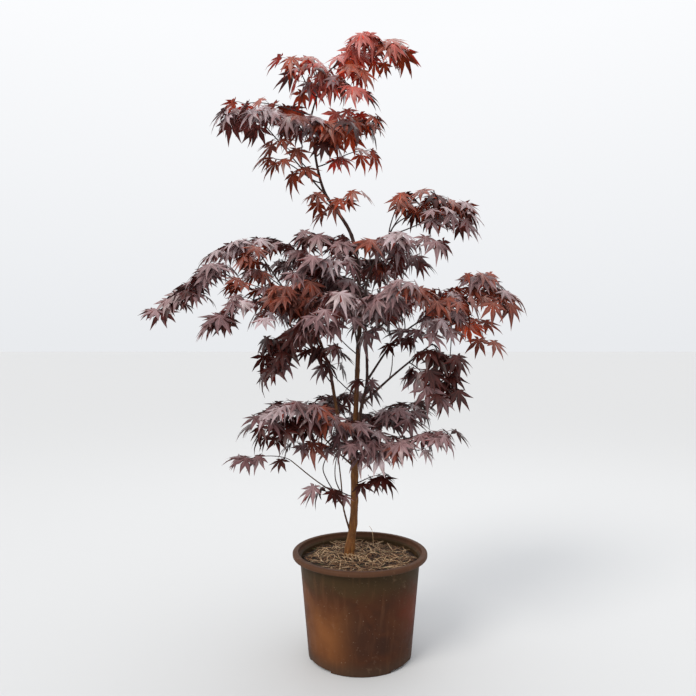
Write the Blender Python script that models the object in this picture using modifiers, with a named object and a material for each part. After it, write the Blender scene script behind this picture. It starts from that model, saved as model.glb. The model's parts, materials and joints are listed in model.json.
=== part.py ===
"""A young japanese maple in its nursery pot: pot, mulch, trunk, boughs and masses of palmate leaves.

Metres, +Z up. The origin is the centre of the pot's flat underside. The tree's best side faces -Y.
"""

import math
import random

import bmesh
import bpy
from mathutils import Matrix, Vector
from mathutils.bvhtree import BVHTree
from mathutils.geometry import intersect_point_line

UP = Vector((0.0, 0.0, 1.0))
GAP = 0.0003  # clear space between pieces that touch on the real plant

# Pot: a tapered moulded shell with a rolled rim and four drainage notches under its edge.
POT_HEIGHT = 0.268
RIM_RADIUS = 0.175
RIM_INNER_RADIUS = 0.160
RIM_DEPTH = 0.013
RIM_ROUND = 0.005
RIM_UNDERCUT = 0.004
WALL_TOP_RADIUS = 0.156
WALL_FOOT_RADIUS = 0.1335
WALL = 0.003
FLOOR = 0.010
FOOT_CHAMFER = 0.002
NOTCH_HEIGHT = 0.006
NOTCH_WIDTH = 0.086
NOTCH_INNER = 0.118
NOTCH_DEPTH = 0.040
NOTCH_BEARINGS = (52, 128, 232, 308)  # degrees round from the front
POT_STEPS = 40
MERGE = 0.00005

# Mulch: fills the pot to a little under the rim, slightly mounded, flat under the trunk.
MULCH_TOP = 0.250 - GAP
MULCH_FLAT_RADIUS = 0.056
MULCH_SHOULDER = (0.110, MULCH_TOP - 0.003)
MULCH_EDGE_TOP = 0.242

# Trunk: a flat cut, root flare, lean and long bends up to the tip, with its radius at a few heights.
TRUNK_LINE = (
    (-0.027, 0.012, 0.250), (-0.027, 0.012, 0.262), (-0.015, 0.012, 0.365), (-0.013, 0.010, 0.550),
    (-0.005, 0.002, 0.775), (0.000, 0.000, 0.910), (-0.020, 0.010, 1.082), (-0.094, 0.008, 1.205),
    (-0.122, -0.006, 1.333), (-0.126, -0.010, 1.390), (-0.090, -0.014, 1.492), (-0.050, -0.017, 1.528),
)
TRUNK_TAPER = (
    (0.250, 0.0155), (0.262, 0.0130), (0.305, 0.0110), (0.365, 0.0098), (0.500, 0.0092), (0.530, 0.0068),
    (0.775, 0.0060), (1.000, 0.0052), (1.150, 0.0042), (1.270, 0.0032), (1.390, 0.0023), (1.528, 0.0015),
)

# Limbs: the limb that carries it, the height where it leaves that, the points that it passes up to its
# tip, and its radius at either end.
LIMBS = {
    "left_leader": (
        "trunk", 0.485, ((-0.053, 0.008, 0.594), (-0.078, 0.012, 0.729), (-0.115, 0.000, 0.845)),
        0.0056, 0.0034),
    "right_leader": (
        "trunk", 0.500, ((0.003, -0.014, 0.640), (0.018, -0.016, 0.717), (0.014, -0.008, 0.890),
                         (0.024, 0.010, 0.985), (0.086, 0.040, 1.110)),
        0.0052, 0.0021),
    "right_low_bough": (
        "right_leader", 0.650, ((0.087, -0.045, 0.728), (0.173, -0.075, 0.801)), 0.0036, 0.0020),
    "right_mid_bough": (
        "right_leader", 0.710, ((0.087, -0.020, 0.811), (0.157, -0.040, 0.868)), 0.0032, 0.0019),
    "right_back_bough": (
        "right_leader", 0.820, ((0.130, 0.050, 0.905), (0.276, 0.064, 0.954)), 0.0031, 0.0018),
    "right_hang_bough": (
        "right_low_bough", 0.756, ((0.124, -0.072, 0.757), (0.137, -0.084, 0.748)), 0.0018, 0.0014),
    "left_long_bough": (
        "left_leader", 0.765, ((-0.164, -0.028, 0.836), (-0.241, -0.050, 0.920), (-0.338, -0.066, 0.980)),
        0.0035, 0.0018),
    "left_high_bough": (
        "left_leader", 0.800, ((-0.188, 0.062, 0.930), (-0.278, 0.104, 1.058)), 0.0030, 0.0018),
    "left_low_bough": (
        "left_long_bough", 0.880, ((-0.226, -0.075, 0.896), (-0.252, -0.125, 0.908)), 0.0020, 0.0014),
    "left_under_bough": (
        "left_leader", 0.745, ((-0.112, -0.030, 0.780), (-0.146, -0.062, 0.802)), 0.0022, 0.0015),
    "low_left_bough": (
        "trunk", 0.482, ((-0.066, -0.020, 0.535), (-0.150, -0.060, 0.632)), 0.0026, 0.0015),
    "foot_left_stem": (
        "trunk", 0.300, ((-0.042, -0.004, 0.375), (-0.049, -0.015, 0.450), (-0.056, -0.018, 0.513)),
        0.0026, 0.0015),
    "foot_left_long": (
        "foot_left_stem", 0.405, ((-0.112, -0.045, 0.458), (-0.173, -0.070, 0.513)), 0.0018, 0.0013),
    "top_left_bough": (
        "trunk", 1.190, ((-0.158, -0.034, 1.262), (-0.236, -0.052, 1.350)), 0.0023, 0.0014),
    "front_bough": (
        "trunk", 0.790, ((-0.020, -0.115, 0.868), (-0.031, -0.160, 0.890)), 0.0028, 0.0016),
}
TRUNK_SIDES = 8
BOUGH_SIDES = 6
LIMB_STEP = 0.050

# Masses: the limb that carries the stem, the height where it leaves that or its tip, where the stem ends,
# the width and thickness of the mass's space, the share of the stem that is bare, and how steeply the
# leaves hang in degrees.
TIP = None
MASSES = {
    "crown_top": ("trunk", TIP, (0.105, -0.025, 1.590), 0.20, 0.050, 0.04, 38),
    "crown_left": ("trunk", 1.440, (-0.200, -0.030, 1.515), 0.13, 0.035, 0.30, 40),
    "crown_middle": ("trunk", 1.462, (-0.015, -0.085, 1.450), 0.15, 0.045, 0.12, 48),
    "upper_left_outer": ("top_left_bough", TIP, (-0.325, -0.070, 1.375), 0.15, 0.050, 0.00, 34),
    "upper_left_back": ("trunk", 1.395, (-0.345, 0.060, 1.450), 0.12, 0.035, 0.34, 34),
    "upper_left_inner": ("trunk", 1.350, (-0.210, -0.070, 1.375), 0.12, 0.040, 0.16, 38),
    "upper_right": ("trunk", 1.318, (0.025, -0.055, 1.385), 0.16, 0.050, 0.16, 42),
    "upper_right_low": ("trunk", 1.265, (0.020, 0.030, 1.325), 0.10, 0.030, 0.26, 44),
    "upper_left_low": ("trunk", 1.225, (-0.205, -0.090, 1.280), 0.13, 0.045, 0.36, 46),
    "leader_tuft_left": ("trunk", 1.150, (-0.120, -0.034, 1.185), 0.06, 0.025, 0.20, 46),
    "leader_tuft_right": ("trunk", 1.160, (-0.018, -0.022, 1.192), 0.07, 0.030, 0.20, 46),
    "right_high_outer": ("right_leader", TIP, (0.258, 0.030, 1.175), 0.17, 0.045, 0.06, 34),
    "right_high_mid": ("right_leader", 1.098, (0.255, -0.060, 1.113), 0.13, 0.040, 0.40, 42),
    "right_high_low": ("right_leader", 1.060, (0.180, -0.050, 1.067), 0.12, 0.035, 0.18, 42),
    "centre_right": ("trunk", 1.000, (0.145, 0.085, 1.045), 0.15, 0.040, 0.20, 38),
    "centre_left_high": ("trunk", 1.040, (-0.142, 0.034, 1.105), 0.15, 0.045, 0.10, 34),
    "centre_back": ("trunk", 0.905, (-0.108, 0.100, 1.040), 0.15, 0.045, 0.20, 36),
    "left_high": ("left_high_bough", TIP, (-0.375, 0.095, 1.075), 0.18, 0.050, 0.00, 30),
    "left_high_inner": ("trunk", 0.950, (-0.273, 0.140, 1.113), 0.15, 0.040, 0.46, 34),
    "left_far": ("left_long_bough", TIP, (-0.463, -0.088, 0.918), 0.17, 0.045, 0.00, 28),
    "left_low": ("left_low_bough", TIP, (-0.348, -0.180, 0.880), 0.15, 0.035, 0.02, 36),
    "left_mid": ("left_leader", TIP, (-0.250, -0.110, 0.980), 0.19, 0.065, 0.22, 40),
    "left_mid_back": ("trunk", 0.870, (-0.193, 0.200, 1.004), 0.20, 0.060, 0.34, 36),
    "front_centre": ("front_bough", TIP, (-0.124, -0.262, 0.884), 0.19, 0.050, 0.00, 42),
    "front_right": ("right_leader", 0.850, (0.125, -0.200, 0.950), 0.19, 0.055, 0.36, 38),
    "right_mid": ("right_mid_bough", TIP, (0.252, -0.078, 0.929), 0.18, 0.070, 0.00, 46),
    "right_far": ("right_back_bough", TIP, (0.387, 0.066, 0.950), 0.16, 0.080, 0.00, 40),
    "right_low": ("right_low_bough", TIP, (0.242, -0.080, 0.712), 0.13, 0.060, 0.20, 54),
    "right_inner": ("right_mid_bough", 0.800, (0.108, -0.080, 0.819), 0.06, 0.020, 0.10, 54),
    "right_hang": ("right_hang_bough", TIP, (0.176, -0.118, 0.692), 0.13, 0.060, 0.00, 56),
    "left_under": ("left_under_bough", TIP, (-0.226, -0.124, 0.760), 0.12, 0.070, 0.10, 56),
    "left_under_inner": ("left_leader", 0.705, (-0.122, -0.056, 0.794), 0.11, 0.045, 0.16, 52),
    "low_left": ("low_left_bough", TIP, (-0.259, -0.080, 0.636), 0.17, 0.055, 0.00, 40),
    "low_left_under": ("foot_left_long", TIP, (-0.282, -0.090, 0.531), 0.14, 0.030, 0.00, 34),
    "low_front": ("left_leader", 0.560, (-0.108, -0.130, 0.660), 0.15, 0.045, 0.24, 40),
    "low_middle": ("trunk", 0.530, (-0.026, -0.125, 0.563), 0.11, 0.030, 0.10, 42),
    "low_right_front": ("trunk", 0.512, (0.175, -0.138, 0.592), 0.15, 0.040, 0.30, 40),
    "low_right_back": ("right_leader", 0.575, (0.144, 0.090, 0.640), 0.18, 0.045, 0.26, 38),
    "foot_left": ("trunk", 0.405, (-0.101, -0.060, 0.441), 0.07, 0.020, 0.44, 40),
    "foot_right": ("trunk", 0.440, (0.049, -0.022, 0.458), 0.05, 0.020, 0.20, 44),
    "back_mid": ("trunk", 0.800, (0.060, 0.290, 1.013), 0.21, 0.060, 0.34, 36),
    "back_low": ("trunk", 0.590, (-0.107, 0.210, 0.647), 0.19, 0.050, 0.34, 38),
}

# Twigs are three-sided. Side twigs leave the stem to alternate sides, wide at its foot and narrow at its end.
STEM_RADII = (0.0023, 0.0017)
TWIG_RADII = (0.0019, 0.0015)
STEM_STEPS = 4
STEM_ARCH = 0.12  # rise over the straight line, as a share of the stem's length
TWIG_SPACING = 0.078
SHORTEST_TWIG = 0.027
LONG_TWIG = 0.085
TWIG_ANGLES = (66, 42)
TWIG_FALL = 0.10
STEM_BARE_LEAST = 0.12
TWIG_BARE = 0.30
BUD_DEPTH = 0.0015  # how far inside a twig's end its last leaf is rooted

# Leaves: five long pointed lobes round the top of the stalk, by bearing in degrees and share of the length.
LEAF_LENGTH = 0.062
LEAF_THICKNESS = 0.0024
LEAF_SPACING = 0.053
LOBES = ((0, 1.00), (42, 0.92), (95, 0.66))
SINUSES = ((20, 0.36), (68, 0.34), (145, 0.18))
STALK = 0.46
STALK_LIFT = 0.10
LOBE_DROOP = 0.20
LEAF_TRIES = 5
SPACE_MARGIN = 0.060  # how far outside its mass's half width the middle of a leaf may lie
CLEARANCE = 0.0008  # kept between leaves, twigs and limbs that aren't joined

BARK = ("bark", (0.210, 0.115, 0.050), 0.75)
YOUNG_BARK = ("young_bark", (0.060, 0.032, 0.026), 0.65)
POT_PLASTIC = ("pot_plastic", (0.115, 0.055, 0.030), 0.55)
MULCH = ("mulch", (0.230, 0.150, 0.080), 0.95)
LEAF_PURPLE = ("leaf_purple", (0.110, 0.045, 0.048), 0.50)
LEAF_SCARLET = ("leaf_scarlet", (0.250, 0.035, 0.018), 0.50)
SCARLET_ABOVE = 1.13  # masses that end higher than this show the young scarlet growth
SMOOTH_ANGLE = math.radians(40)


def clear_scene():
    for obj in list(bpy.data.objects):
        bpy.data.objects.remove(obj)


def linked(name, data, collection):
    obj = bpy.data.objects.new(name, data)
    collection.objects.link(obj)
    return obj


def finished(obj, look, smooth=True):
    """Gives an object its material, and smooth shading between the faces of round forms."""
    name, colour, roughness = look
    material = bpy.data.materials.get(name)
    if material is None:
        material = bpy.data.materials.new(name)
        material.use_nodes = True
        shader = material.node_tree.nodes["Principled BSDF"]
        shader.inputs["Base Color"].default_value = (*colour, 1.0)
        shader.inputs["Roughness"].default_value = roughness
    obj.data.materials.clear()
    obj.data.materials.append(material)
    if smooth:
        obj.data.shade_smooth()
        obj.data.set_sharp_from_angle(angle=SMOOTH_ANGLE)
    return obj


def mesh_of(obj):
    """The evaluated mesh of an object as a new mesh in world space, with a curve's caps welded on."""
    bpy.context.view_layer.update()
    graph = bpy.context.evaluated_depsgraph_get()
    mesh = bpy.data.meshes.new_from_object(obj.evaluated_get(graph))
    mesh.transform(obj.matrix_world)
    shape = bmesh.new()
    shape.from_mesh(mesh)
    bmesh.ops.remove_doubles(shape, verts=shape.verts, dist=1e-6)
    bmesh.ops.recalc_face_normals(shape, faces=shape.faces)
    shape.to_mesh(mesh)
    shape.free()
    return mesh


def applied(obj):
    """Replaces an object's mesh with its evaluated one, in place of its modifiers."""
    mesh = mesh_of(obj)
    obj.modifiers.clear()
    obj.data = mesh
    return obj


def cut(obj, cutter):
    """Cuts the cutter away from an object, and removes it."""
    step = obj.modifiers.new("cut", "BOOLEAN")
    step.operation = "DIFFERENCE"
    step.object = cutter
    applied(obj)
    bpy.data.objects.remove(cutter)


def join(obj, group):
    """Fuses a collection's objects to an object, and removes them with their collection."""
    step = obj.modifiers.new("join", "BOOLEAN")
    step.operation = "UNION"
    step.solver = "MANIFOLD"
    step.operand_type = "COLLECTION"
    step.collection = group
    applied(obj)
    for piece in list(group.objects):
        bpy.data.objects.remove(piece)
    bpy.data.collections.remove(group)


def drop_scraps(mesh):
    """Keeps only the body with the most faces."""
    shape = bmesh.new()
    shape.from_mesh(mesh)
    left = set(shape.faces)
    bodies = []
    while left:
        body = [left.pop()]
        for face in body:
            near = {other for edge in face.edges for other in edge.link_faces} & left
            left -= near
            body += near
        bodies.append(body)
    bodies.sort(key=len)
    bmesh.ops.delete(shape, geom=[face for body in bodies[:-1] for face in body], context="FACES")
    shape.to_mesh(mesh)
    shape.free()


def turned(name, profile, collection):
    """A solid turned from a profile that starts and ends on the axis and runs down its outer side."""
    mesh = bpy.data.meshes.new(name)
    edges = [(k, k + 1) for k in range(len(profile) - 1)]
    mesh.from_pydata([(radius, 0.0, height) for radius, height in profile], edges, [])
    obj = linked(name, mesh, collection)
    screw = obj.modifiers.new("turn", "SCREW")
    screw.steps = screw.render_steps = POT_STEPS
    screw.use_merge_vertices = True
    screw.merge_threshold = MERGE
    return applied(obj)


def wall_radius(height):
    """Outer radius of the pot's wall at a height."""
    share = (height - FOOT_CHAMFER) / (POT_HEIGHT - RIM_DEPTH - FOOT_CHAMFER)
    return WALL_FOOT_RADIUS + (WALL_TOP_RADIUS - WALL_FOOT_RADIUS) * share


def rim_section():
    """The rolled rim from its inner edge over its flat top and round shoulder to its undercut foot."""
    low = POT_HEIGHT - RIM_DEPTH
    section = [(RIM_INNER_RADIUS, POT_HEIGHT - RIM_ROUND / 2), (RIM_INNER_RADIUS + RIM_ROUND / 2, POT_HEIGHT)]
    for degrees in (90, 45, 0):
        turn = math.radians(degrees)
        radius = RIM_RADIUS - RIM_ROUND + RIM_ROUND * math.cos(turn)
        section.append((radius, POT_HEIGHT - RIM_ROUND + RIM_ROUND * math.sin(turn)))
    return section + [(RIM_RADIUS - RIM_UNDERCUT / 4, low + RIM_UNDERCUT / 2), (RIM_RADIUS - RIM_UNDERCUT, low)]


def make_pot(collection, helpers):
    low = POT_HEIGHT - RIM_DEPTH
    inside = [(0.0, FLOOR), (wall_radius(FLOOR) - WALL, FLOOR), (wall_radius(low) - WALL, low)]
    outside = [(wall_radius(low), low), (WALL_FOOT_RADIUS, FOOT_CHAMFER),
               (WALL_FOOT_RADIUS - FOOT_CHAMFER, 0.0), (0.0, 0.0)]
    pot = turned("pot", inside + rim_section() + outside, collection)
    for bearing in NOTCH_BEARINGS:
        shape = bmesh.new()
        bmesh.ops.create_cube(shape, size=1.0)
        place = Matrix.Translation((NOTCH_INNER + NOTCH_DEPTH / 2, 0.0, 0.0))
        size = Matrix.Diagonal((NOTCH_DEPTH, NOTCH_WIDTH, 2 * NOTCH_HEIGHT, 1.0))
        shape.transform(Matrix.Rotation(math.radians(bearing - 90), 4, "Z") @ place @ size)
        mesh = bpy.data.meshes.new("notch")
        shape.to_mesh(mesh)
        shape.free()
        cutter = linked("notch", mesh, helpers)
        cutter.hide_render = True
        cutter.display_type = "WIRE"
        cut(pot, cutter)
    return finished(pot, POT_PLASTIC)


def make_mulch(collection):
    edge = wall_radius(MULCH_EDGE_TOP) - WALL - GAP
    foot = wall_radius(FLOOR) - WALL - GAP
    profile = [(0.0, MULCH_TOP), (MULCH_FLAT_RADIUS, MULCH_TOP), MULCH_SHOULDER,
               (edge, MULCH_EDGE_TOP), (foot, FLOOR + GAP), (0.0, FLOOR + GAP)]
    return finished(turned("mulch", profile, collection), MULCH)


def smooth_line(points):
    """Points about a limb's step apart on the Catmull-Rom curve through the given points."""
    ends = [points[0] * 2 - points[1], *points, points[-1] * 2 - points[-2]]
    line = []
    for a, b, c, d in zip(ends, ends[1:], ends[2:], ends[3:]):
        steps = max(1, round((c - b).length / LIMB_STEP))
        for t in (k / steps for k in range(steps)):
            line.append(0.5 * (2 * b + (c - a) * t + (2 * a - 5 * b + 4 * c - d) * t**2
                               + (3 * b - a - 3 * c + d) * t**3))
    return [*line, points[-1]]


def trunk_radius(height):
    for (low, wide), (high, narrow) in zip(TRUNK_TAPER, TRUNK_TAPER[1:]):
        if height <= high:
            return wide + (narrow - wide) * max(0.0, (height - low) / (high - low))
    return TRUNK_TAPER[-1][1]


def along_line(line, share):
    """Place and direction at a share of a line's points."""
    spot = share * (len(line) - 1)
    k = min(int(spot), len(line) - 2)
    return line[k].lerp(line[k + 1], spot - k), (line[k + 1] - line[k]).normalized()


def at_height(limb, height):
    """Place, direction and radius where a limb first passes a height, or at its tip."""
    line, radii = limb
    if height is TIP:
        return line[-1], (line[-1] - line[-2]).normalized(), radii[-1]
    k = next(k for k, (a, b) in enumerate(zip(line, line[1:])) if a.z <= height <= b.z)
    share = (height - line[k].z) / (line[k + 1].z - line[k].z)
    return line[k].lerp(line[k + 1], share), (line[k + 1] - line[k]).normalized(), radii[k]


def plan_limbs():
    """Each limb's line and radii, in growing order. The trunk's first stretch is upright for its flat cut."""
    foot, *rest = (Vector(point) for point in TRUNK_LINE)
    trunk = [foot, *smooth_line(rest)]
    limbs = {"trunk": (trunk, [trunk_radius(point.z) for point in trunk])}
    for name, (carrier, height, passes, thick, thin) in LIMBS.items():
        root = at_height(limbs[carrier], height)[0]
        line = smooth_line([root, *(Vector(point) for point in passes)])
        last = len(line) - 1
        limbs[name] = (line, [thick + (thin - thick) * (k / last) ** 0.8 for k in range(last + 1)])
    return limbs


def tube(name, line, radii, collection, sides=BOUGH_SIDES, section=None):
    """A tapering tube along a line as a closed mesh object, round or with the outline of a section."""
    curve = bpy.data.curves.new(name, "CURVE")
    curve.dimensions = "3D"
    curve.use_fill_caps = True
    if section is None:
        curve.bevel_depth = 1.0
        curve.bevel_resolution = sides // 2 - 2
    else:
        curve.bevel_mode = "OBJECT"
        curve.bevel_object = section
    spline = curve.splines.new("POLY")
    spline.points.add(len(line) - 1)
    for point, place, radius in zip(spline.points, line, radii):
        point.co = (*place, 1.0)
        point.radius = radius
    guide = linked(name, curve, collection)
    mesh = mesh_of(guide)
    bpy.data.objects.remove(guide)
    return linked(name, mesh, collection)


def make_limbs(limbs, collection, helpers):
    """The trunk whole, and each bough cut clear of the limb that carries it."""
    made = {}
    for name, (line, radii) in limbs.items():
        limb = tube(name, line, radii, collection, TRUNK_SIDES if name == "trunk" else BOUGH_SIDES)
        if name != "trunk":
            carrier = LIMBS[name][0]
            carrier_line, carrier_radii = limbs[carrier]
            clear = [radius + GAP * 1.15 for radius in carrier_radii]
            sides = TRUNK_SIDES if carrier == "trunk" else BOUGH_SIDES
            cut(limb, tube("seat", carrier_line, clear, helpers, sides))
            drop_scraps(limb.data)
        made[name] = finished(limb, BARK if name in ("trunk", "left_leader") else YOUNG_BARK)
    return made


def three_sided_section(collection):
    curve = bpy.data.curves.new("twig_section", "CURVE")
    spline = curve.splines.new("POLY")
    spline.points.add(2)
    for k, point in enumerate(spline.points):
        turn = math.radians(120 * k + 90)
        point.co = (math.cos(turn), math.sin(turn), 0.0, 1.0)
    spline.use_cyclic_u = True
    section = linked("twig_section", curve, collection)
    section.hide_render = True
    section.display_type = "WIRE"
    return section


def search_tree(mesh, matrix=None, grown=0.0):
    """A tree for overlap tests of a mesh, grown along its normals, with the ball that holds it."""
    matrix = matrix or Matrix.Identity(4)
    points = [matrix @ (v.co + v.normal * (grown / matrix.median_scale)) for v in mesh.vertices]
    middle = sum(points, Vector()) / len(points)
    reach = max((point - middle).length for point in points)
    return BVHTree.FromPolygons(points, [face.vertices[:] for face in mesh.polygons]), middle, reach


def touches(tree, others):
    found, middle, reach = tree
    near = (other for other, centre, radius in others if (middle - centre).length < reach + radius)
    return any(found.overlap(other) for other in near)


def stem_line(limbs, mass, turn, push):
    """The line of a mass's stem: on from its bough's tip, or square off the side of its limb.

    The turn swings its foot round the limb, past another limb in its way. The push moves it outward.
    """
    carrier, height, end = mass[:3]
    end = Vector(end)
    place, along, radius = at_height(limbs[carrier], height)
    if height is TIP:
        way, start = along, place + along * (GAP + push)
    else:
        way = end - place
        way = Matrix.Rotation(turn, 3, along) @ (way - along * way.dot(along)).normalized()
        start = place + way * (radius + GAP + push)
    span = (end - start).length
    first = start + way * span * 0.22
    second = start.lerp(end, 0.66) + UP * span * STEM_ARCH * 1.6
    line = []
    for t in (k / STEM_STEPS for k in range(STEM_STEPS + 1)):
        line.append(start * (1 - t)**3 + first * 3 * t * (1 - t)**2 + second * 3 * t * t * (1 - t) + end * t**3)
    if height is TIP:
        line.insert(1, start + along * STEM_RADII[0] * 1.7)
    return line


def foot_gap(stem, foot, carrier):
    """How far the flat foot of a stem lies from the limb that carries it, below zero inside it."""
    corners = [v.co for v in sorted(stem.vertices, key=lambda v: (v.co - foot).length)[:3]]
    gaps = []
    for a, b in zip(corners, corners[1:] + corners[:1]):
        for share in (0.0, 0.25, 0.5, 0.75):
            for inward in (0.0, 0.35, 0.7, 1.0):
                spot = a.lerp(b, share).lerp(foot, inward)
                near, normal, _, distance = carrier.find_nearest(spot)
                gaps.append(math.copysign(distance, (spot - near).dot(normal)))
    return min(gaps)


def plan_stems(limbs, limb_trees, section, helpers):
    """The line of each mass's stem, seated on its limb and clear of other limbs and earlier stems."""
    lines, trees = {}, {}
    for name, mass in MASSES.items():
        for degrees in (0, 25, -25, 50, -50, 75, -75, 100, -100):
            push = 0.0
            for _ in range(6):
                line = stem_line(limbs, mass, math.radians(degrees), push)
                stem = tube("stem", line, [STEM_RADII[0]] * len(line), helpers, section=section)
                push += GAP * 1.1 - foot_gap(stem.data, line[0], limb_trees[mass[0]][0])
                snug, loose = search_tree(stem.data), search_tree(stem.data, grown=CLEARANCE)
                bpy.data.objects.remove(stem)
            if not touches(snug, limb_trees.values()) and not touches(loose, trees.values()):
                break
        lines[name], trees[name] = line, loose
    return lines, trees


def plan_twigs(stem, mass, rng):
    """The line of each side twig: to alternate sides, shorter towards the stem's end, arched over."""
    width, thickness, bare = mass[3:6]
    length = sum((b - a).length for a, b in zip(stem, stem[1:])) * (1 - bare)
    count = max(1, round(length / TWIG_SPACING * 2))
    hand = rng.choice((-1, 1))
    for k in range(count):
        hand = -hand
        share = (k + 0.35) / count
        place, along = along_line(stem, bare + (1 - bare) * share * 0.9)
        span = (width / 2 - LEAF_LENGTH * 0.45) * (1.10 - 0.45 * share) * rng.uniform(0.85, 1.1)
        lift = thickness * (0.55 if k % 4 < 2 else -0.45) * rng.uniform(0.7, 1.2)
        if span < SHORTEST_TWIG:
            continue
        side = along.cross(UP).normalized() * hand
        spread = math.radians(TWIG_ANGLES[0] + (TWIG_ANGLES[1] - TWIG_ANGLES[0]) * share)
        way = (along * math.cos(spread) + side * math.sin(spread)).normalized()
        tip = place + way * span + UP * (lift - span * TWIG_FALL)
        middle = place.lerp(tip, 0.5) + UP * (lift * 0.3 + span * 0.05)
        yield [place, middle, tip] if span > LONG_TWIG else [place, tip]


def plan_leaves(stem, twigs, mass, rng):
    """Root, outward direction and hang of each leaf: one at each end, then pairs along stem and twigs."""
    bare, hang = mass[5], math.radians(mass[6])
    lines = [(stem, max(bare, STEM_BARE_LEAST)), *((twig, TWIG_BARE) for twig in twigs)]
    for line, _ in lines:
        end, along = along_line(line, 1.0)
        yield end - along * BUD_DEPTH, along, hang
    for line, first in lines:
        length = sum((b - a).length for a, b in zip(line, line[1:])) * (1 - first)
        pairs = round(length / LEAF_SPACING)
        for k in range(pairs):
            place, along = along_line(line, first + (1 - first) * (k + 0.35) / pairs)
            side = along.cross(UP).normalized()
            for hand in (1, -1):
                yield place, (along * 0.6 + side * hand).normalized(), hang + rng.uniform(-0.15, 0.35)


def leaf_mesh():
    """A thin hollow-sided leaf and its stalk: a flat double cone whose rim follows lobes and sinuses."""
    rim = [point for pair in zip(LOBES, SINUSES) for point in pair]
    rim += [(180, STALK), *((360 - bearing, reach) for bearing, reach in rim[:0:-1])]
    shape = bmesh.new()
    bmesh.ops.create_cone(shape, cap_ends=True, cap_tris=True, segments=len(rim), radius1=1.0, radius2=0.0,
                          depth=1.0)
    ring = [v for v in shape.verts if v.co.xy.length > 0.5]
    ring.sort(key=lambda v: math.atan2(v.co.y, v.co.x) % (2 * math.pi))
    for vert in set(shape.verts) - set(ring):
        vert.co = (0.0, 0.0, math.copysign(LEAF_THICKNESS / 2, vert.co.z))
    for vert, (bearing, reach) in zip(ring, rim):
        turn = math.radians(bearing)
        lift = STALK_LIFT if bearing == 180 else -LOBE_DROOP * reach**2
        vert.co = Vector((reach * math.cos(turn), reach * math.sin(turn), lift)) * LEAF_LENGTH
    bmesh.ops.recalc_face_normals(shape, faces=shape.faces)
    mesh = bpy.data.meshes.new("leaf")
    shape.to_mesh(mesh)
    shape.free()
    return mesh


def leaf_place(root, outward, hang, size, roll):
    """The matrix that roots a leaf's stalk and lets its blade reach outward and hang."""
    level = Vector((outward.x, outward.y, 0.0)).normalized()
    midrib = level * math.cos(hang) - UP * math.sin(hang)
    side = Matrix.Rotation(roll, 3, midrib) @ UP.cross(midrib).normalized()
    axes = Matrix((midrib, side, midrib.cross(side))).transposed() * size
    foot = Vector((-STALK, 0.0, STALK_LIFT)) * LEAF_LENGTH
    return Matrix.Translation(root - axes @ foot) @ axes.to_4x4()


def distance_to(line, point):
    """Distance from a point to the nearest stretch of a line."""
    nearest = []
    for a, b in zip(line, line[1:]):
        share = intersect_point_line(point, a, b)[1]
        nearest.append((a.lerp(b, min(1.0, max(0.0, share))) - point).length)
    return min(nearest)


def clear_of_far_twigs(leaf, root, twigs):
    """True if a leaf meets no twig of its mass other than those at the foot of its own stalk."""
    met = (twig for twig, _, _ in twigs if leaf[0].overlap(twig))
    return all(twig.find_nearest(root)[3] < STEM_RADII[0] * 1.7 for twig in met)


def make_mass(name, stem, blocked, section, leaf, collection):
    """One mass fused into one solid: stem, twigs and leaves.

    A twig or leaf that meets a limb, another mass or another leaf is skipped, and so is a leaf that leaves
    the mass's space.
    """
    mass = MASSES[name]
    rng = random.Random(name)
    group = bpy.data.collections.new(name)
    bpy.context.scene.collection.children.link(group)
    last = len(stem) - 1
    radii = [STEM_RADII[0] + (STEM_RADII[1] - STEM_RADII[0]) * k / last for k in range(last + 1)]
    host = tube(name, stem, radii, collection, section=section)
    wood, leaves, twigs = [search_tree(host.data, grown=CLEARANCE)], [], []
    for line in plan_twigs(stem, mass, rng):
        twig = tube("twig", line, [TWIG_RADII[0]] * (len(line) - 1) + [TWIG_RADII[1]], group, section=section)
        tree = search_tree(twig.data, grown=CLEARANCE)
        if touches(tree, blocked):
            bpy.data.objects.remove(twig)
        else:
            wood.append(tree)
            twigs.append(line)
    for root, outward, hang in plan_leaves(stem, twigs, mass, rng):
        for attempt in range(LEAF_TRIES):
            swing = Matrix.Rotation(rng.uniform(-0.4, 0.4) * (attempt > 0), 3, "Z")
            place = leaf_place(root, swing @ outward, hang + rng.uniform(-0.2, 0.2),
                               rng.uniform(0.86, 1.12) * (1.0 - 0.06 * attempt), rng.uniform(-0.3, 0.3))
            tree = search_tree(leaf, place, CLEARANCE)
            if distance_to(stem, tree[1]) > mass[3] / 2 + SPACE_MARGIN:
                continue
            if not touches(tree, blocked + leaves) and clear_of_far_twigs(tree, root, wood):
                leaves.append(tree)
                linked("leaf", leaf, group).matrix_world = place
                break
    join(host, group)
    drop_scraps(host.data)
    finished(host, LEAF_SCARLET if mass[2][2] > SCARLET_ABOVE else LEAF_PURPLE, smooth=False)
    return wood + leaves


def main():
    clear_scene()
    tree = bpy.data.collections.new("potted_maple")
    helpers = bpy.data.collections.new("cutters")
    for collection in (tree, helpers):
        bpy.context.scene.collection.children.link(collection)
    make_pot(tree, helpers)
    make_mulch(tree)
    limbs = plan_limbs()
    solids = make_limbs(limbs, tree, helpers)
    section = three_sided_section(helpers)
    leaf = leaf_mesh()
    limb_trees = {name: search_tree(limb.data) for name, limb in solids.items()}
    stems, stem_trees = plan_stems(limbs, limb_trees, section, helpers)
    grown = [search_tree(limb.data, grown=CLEARANCE) for limb in solids.values()]
    for name, stem in stems.items():
        others = [stem_tree for other, stem_tree in stem_trees.items() if other != name]
        grown += make_mass(name, stem, grown + others, section, leaf, tree)


main()
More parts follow.
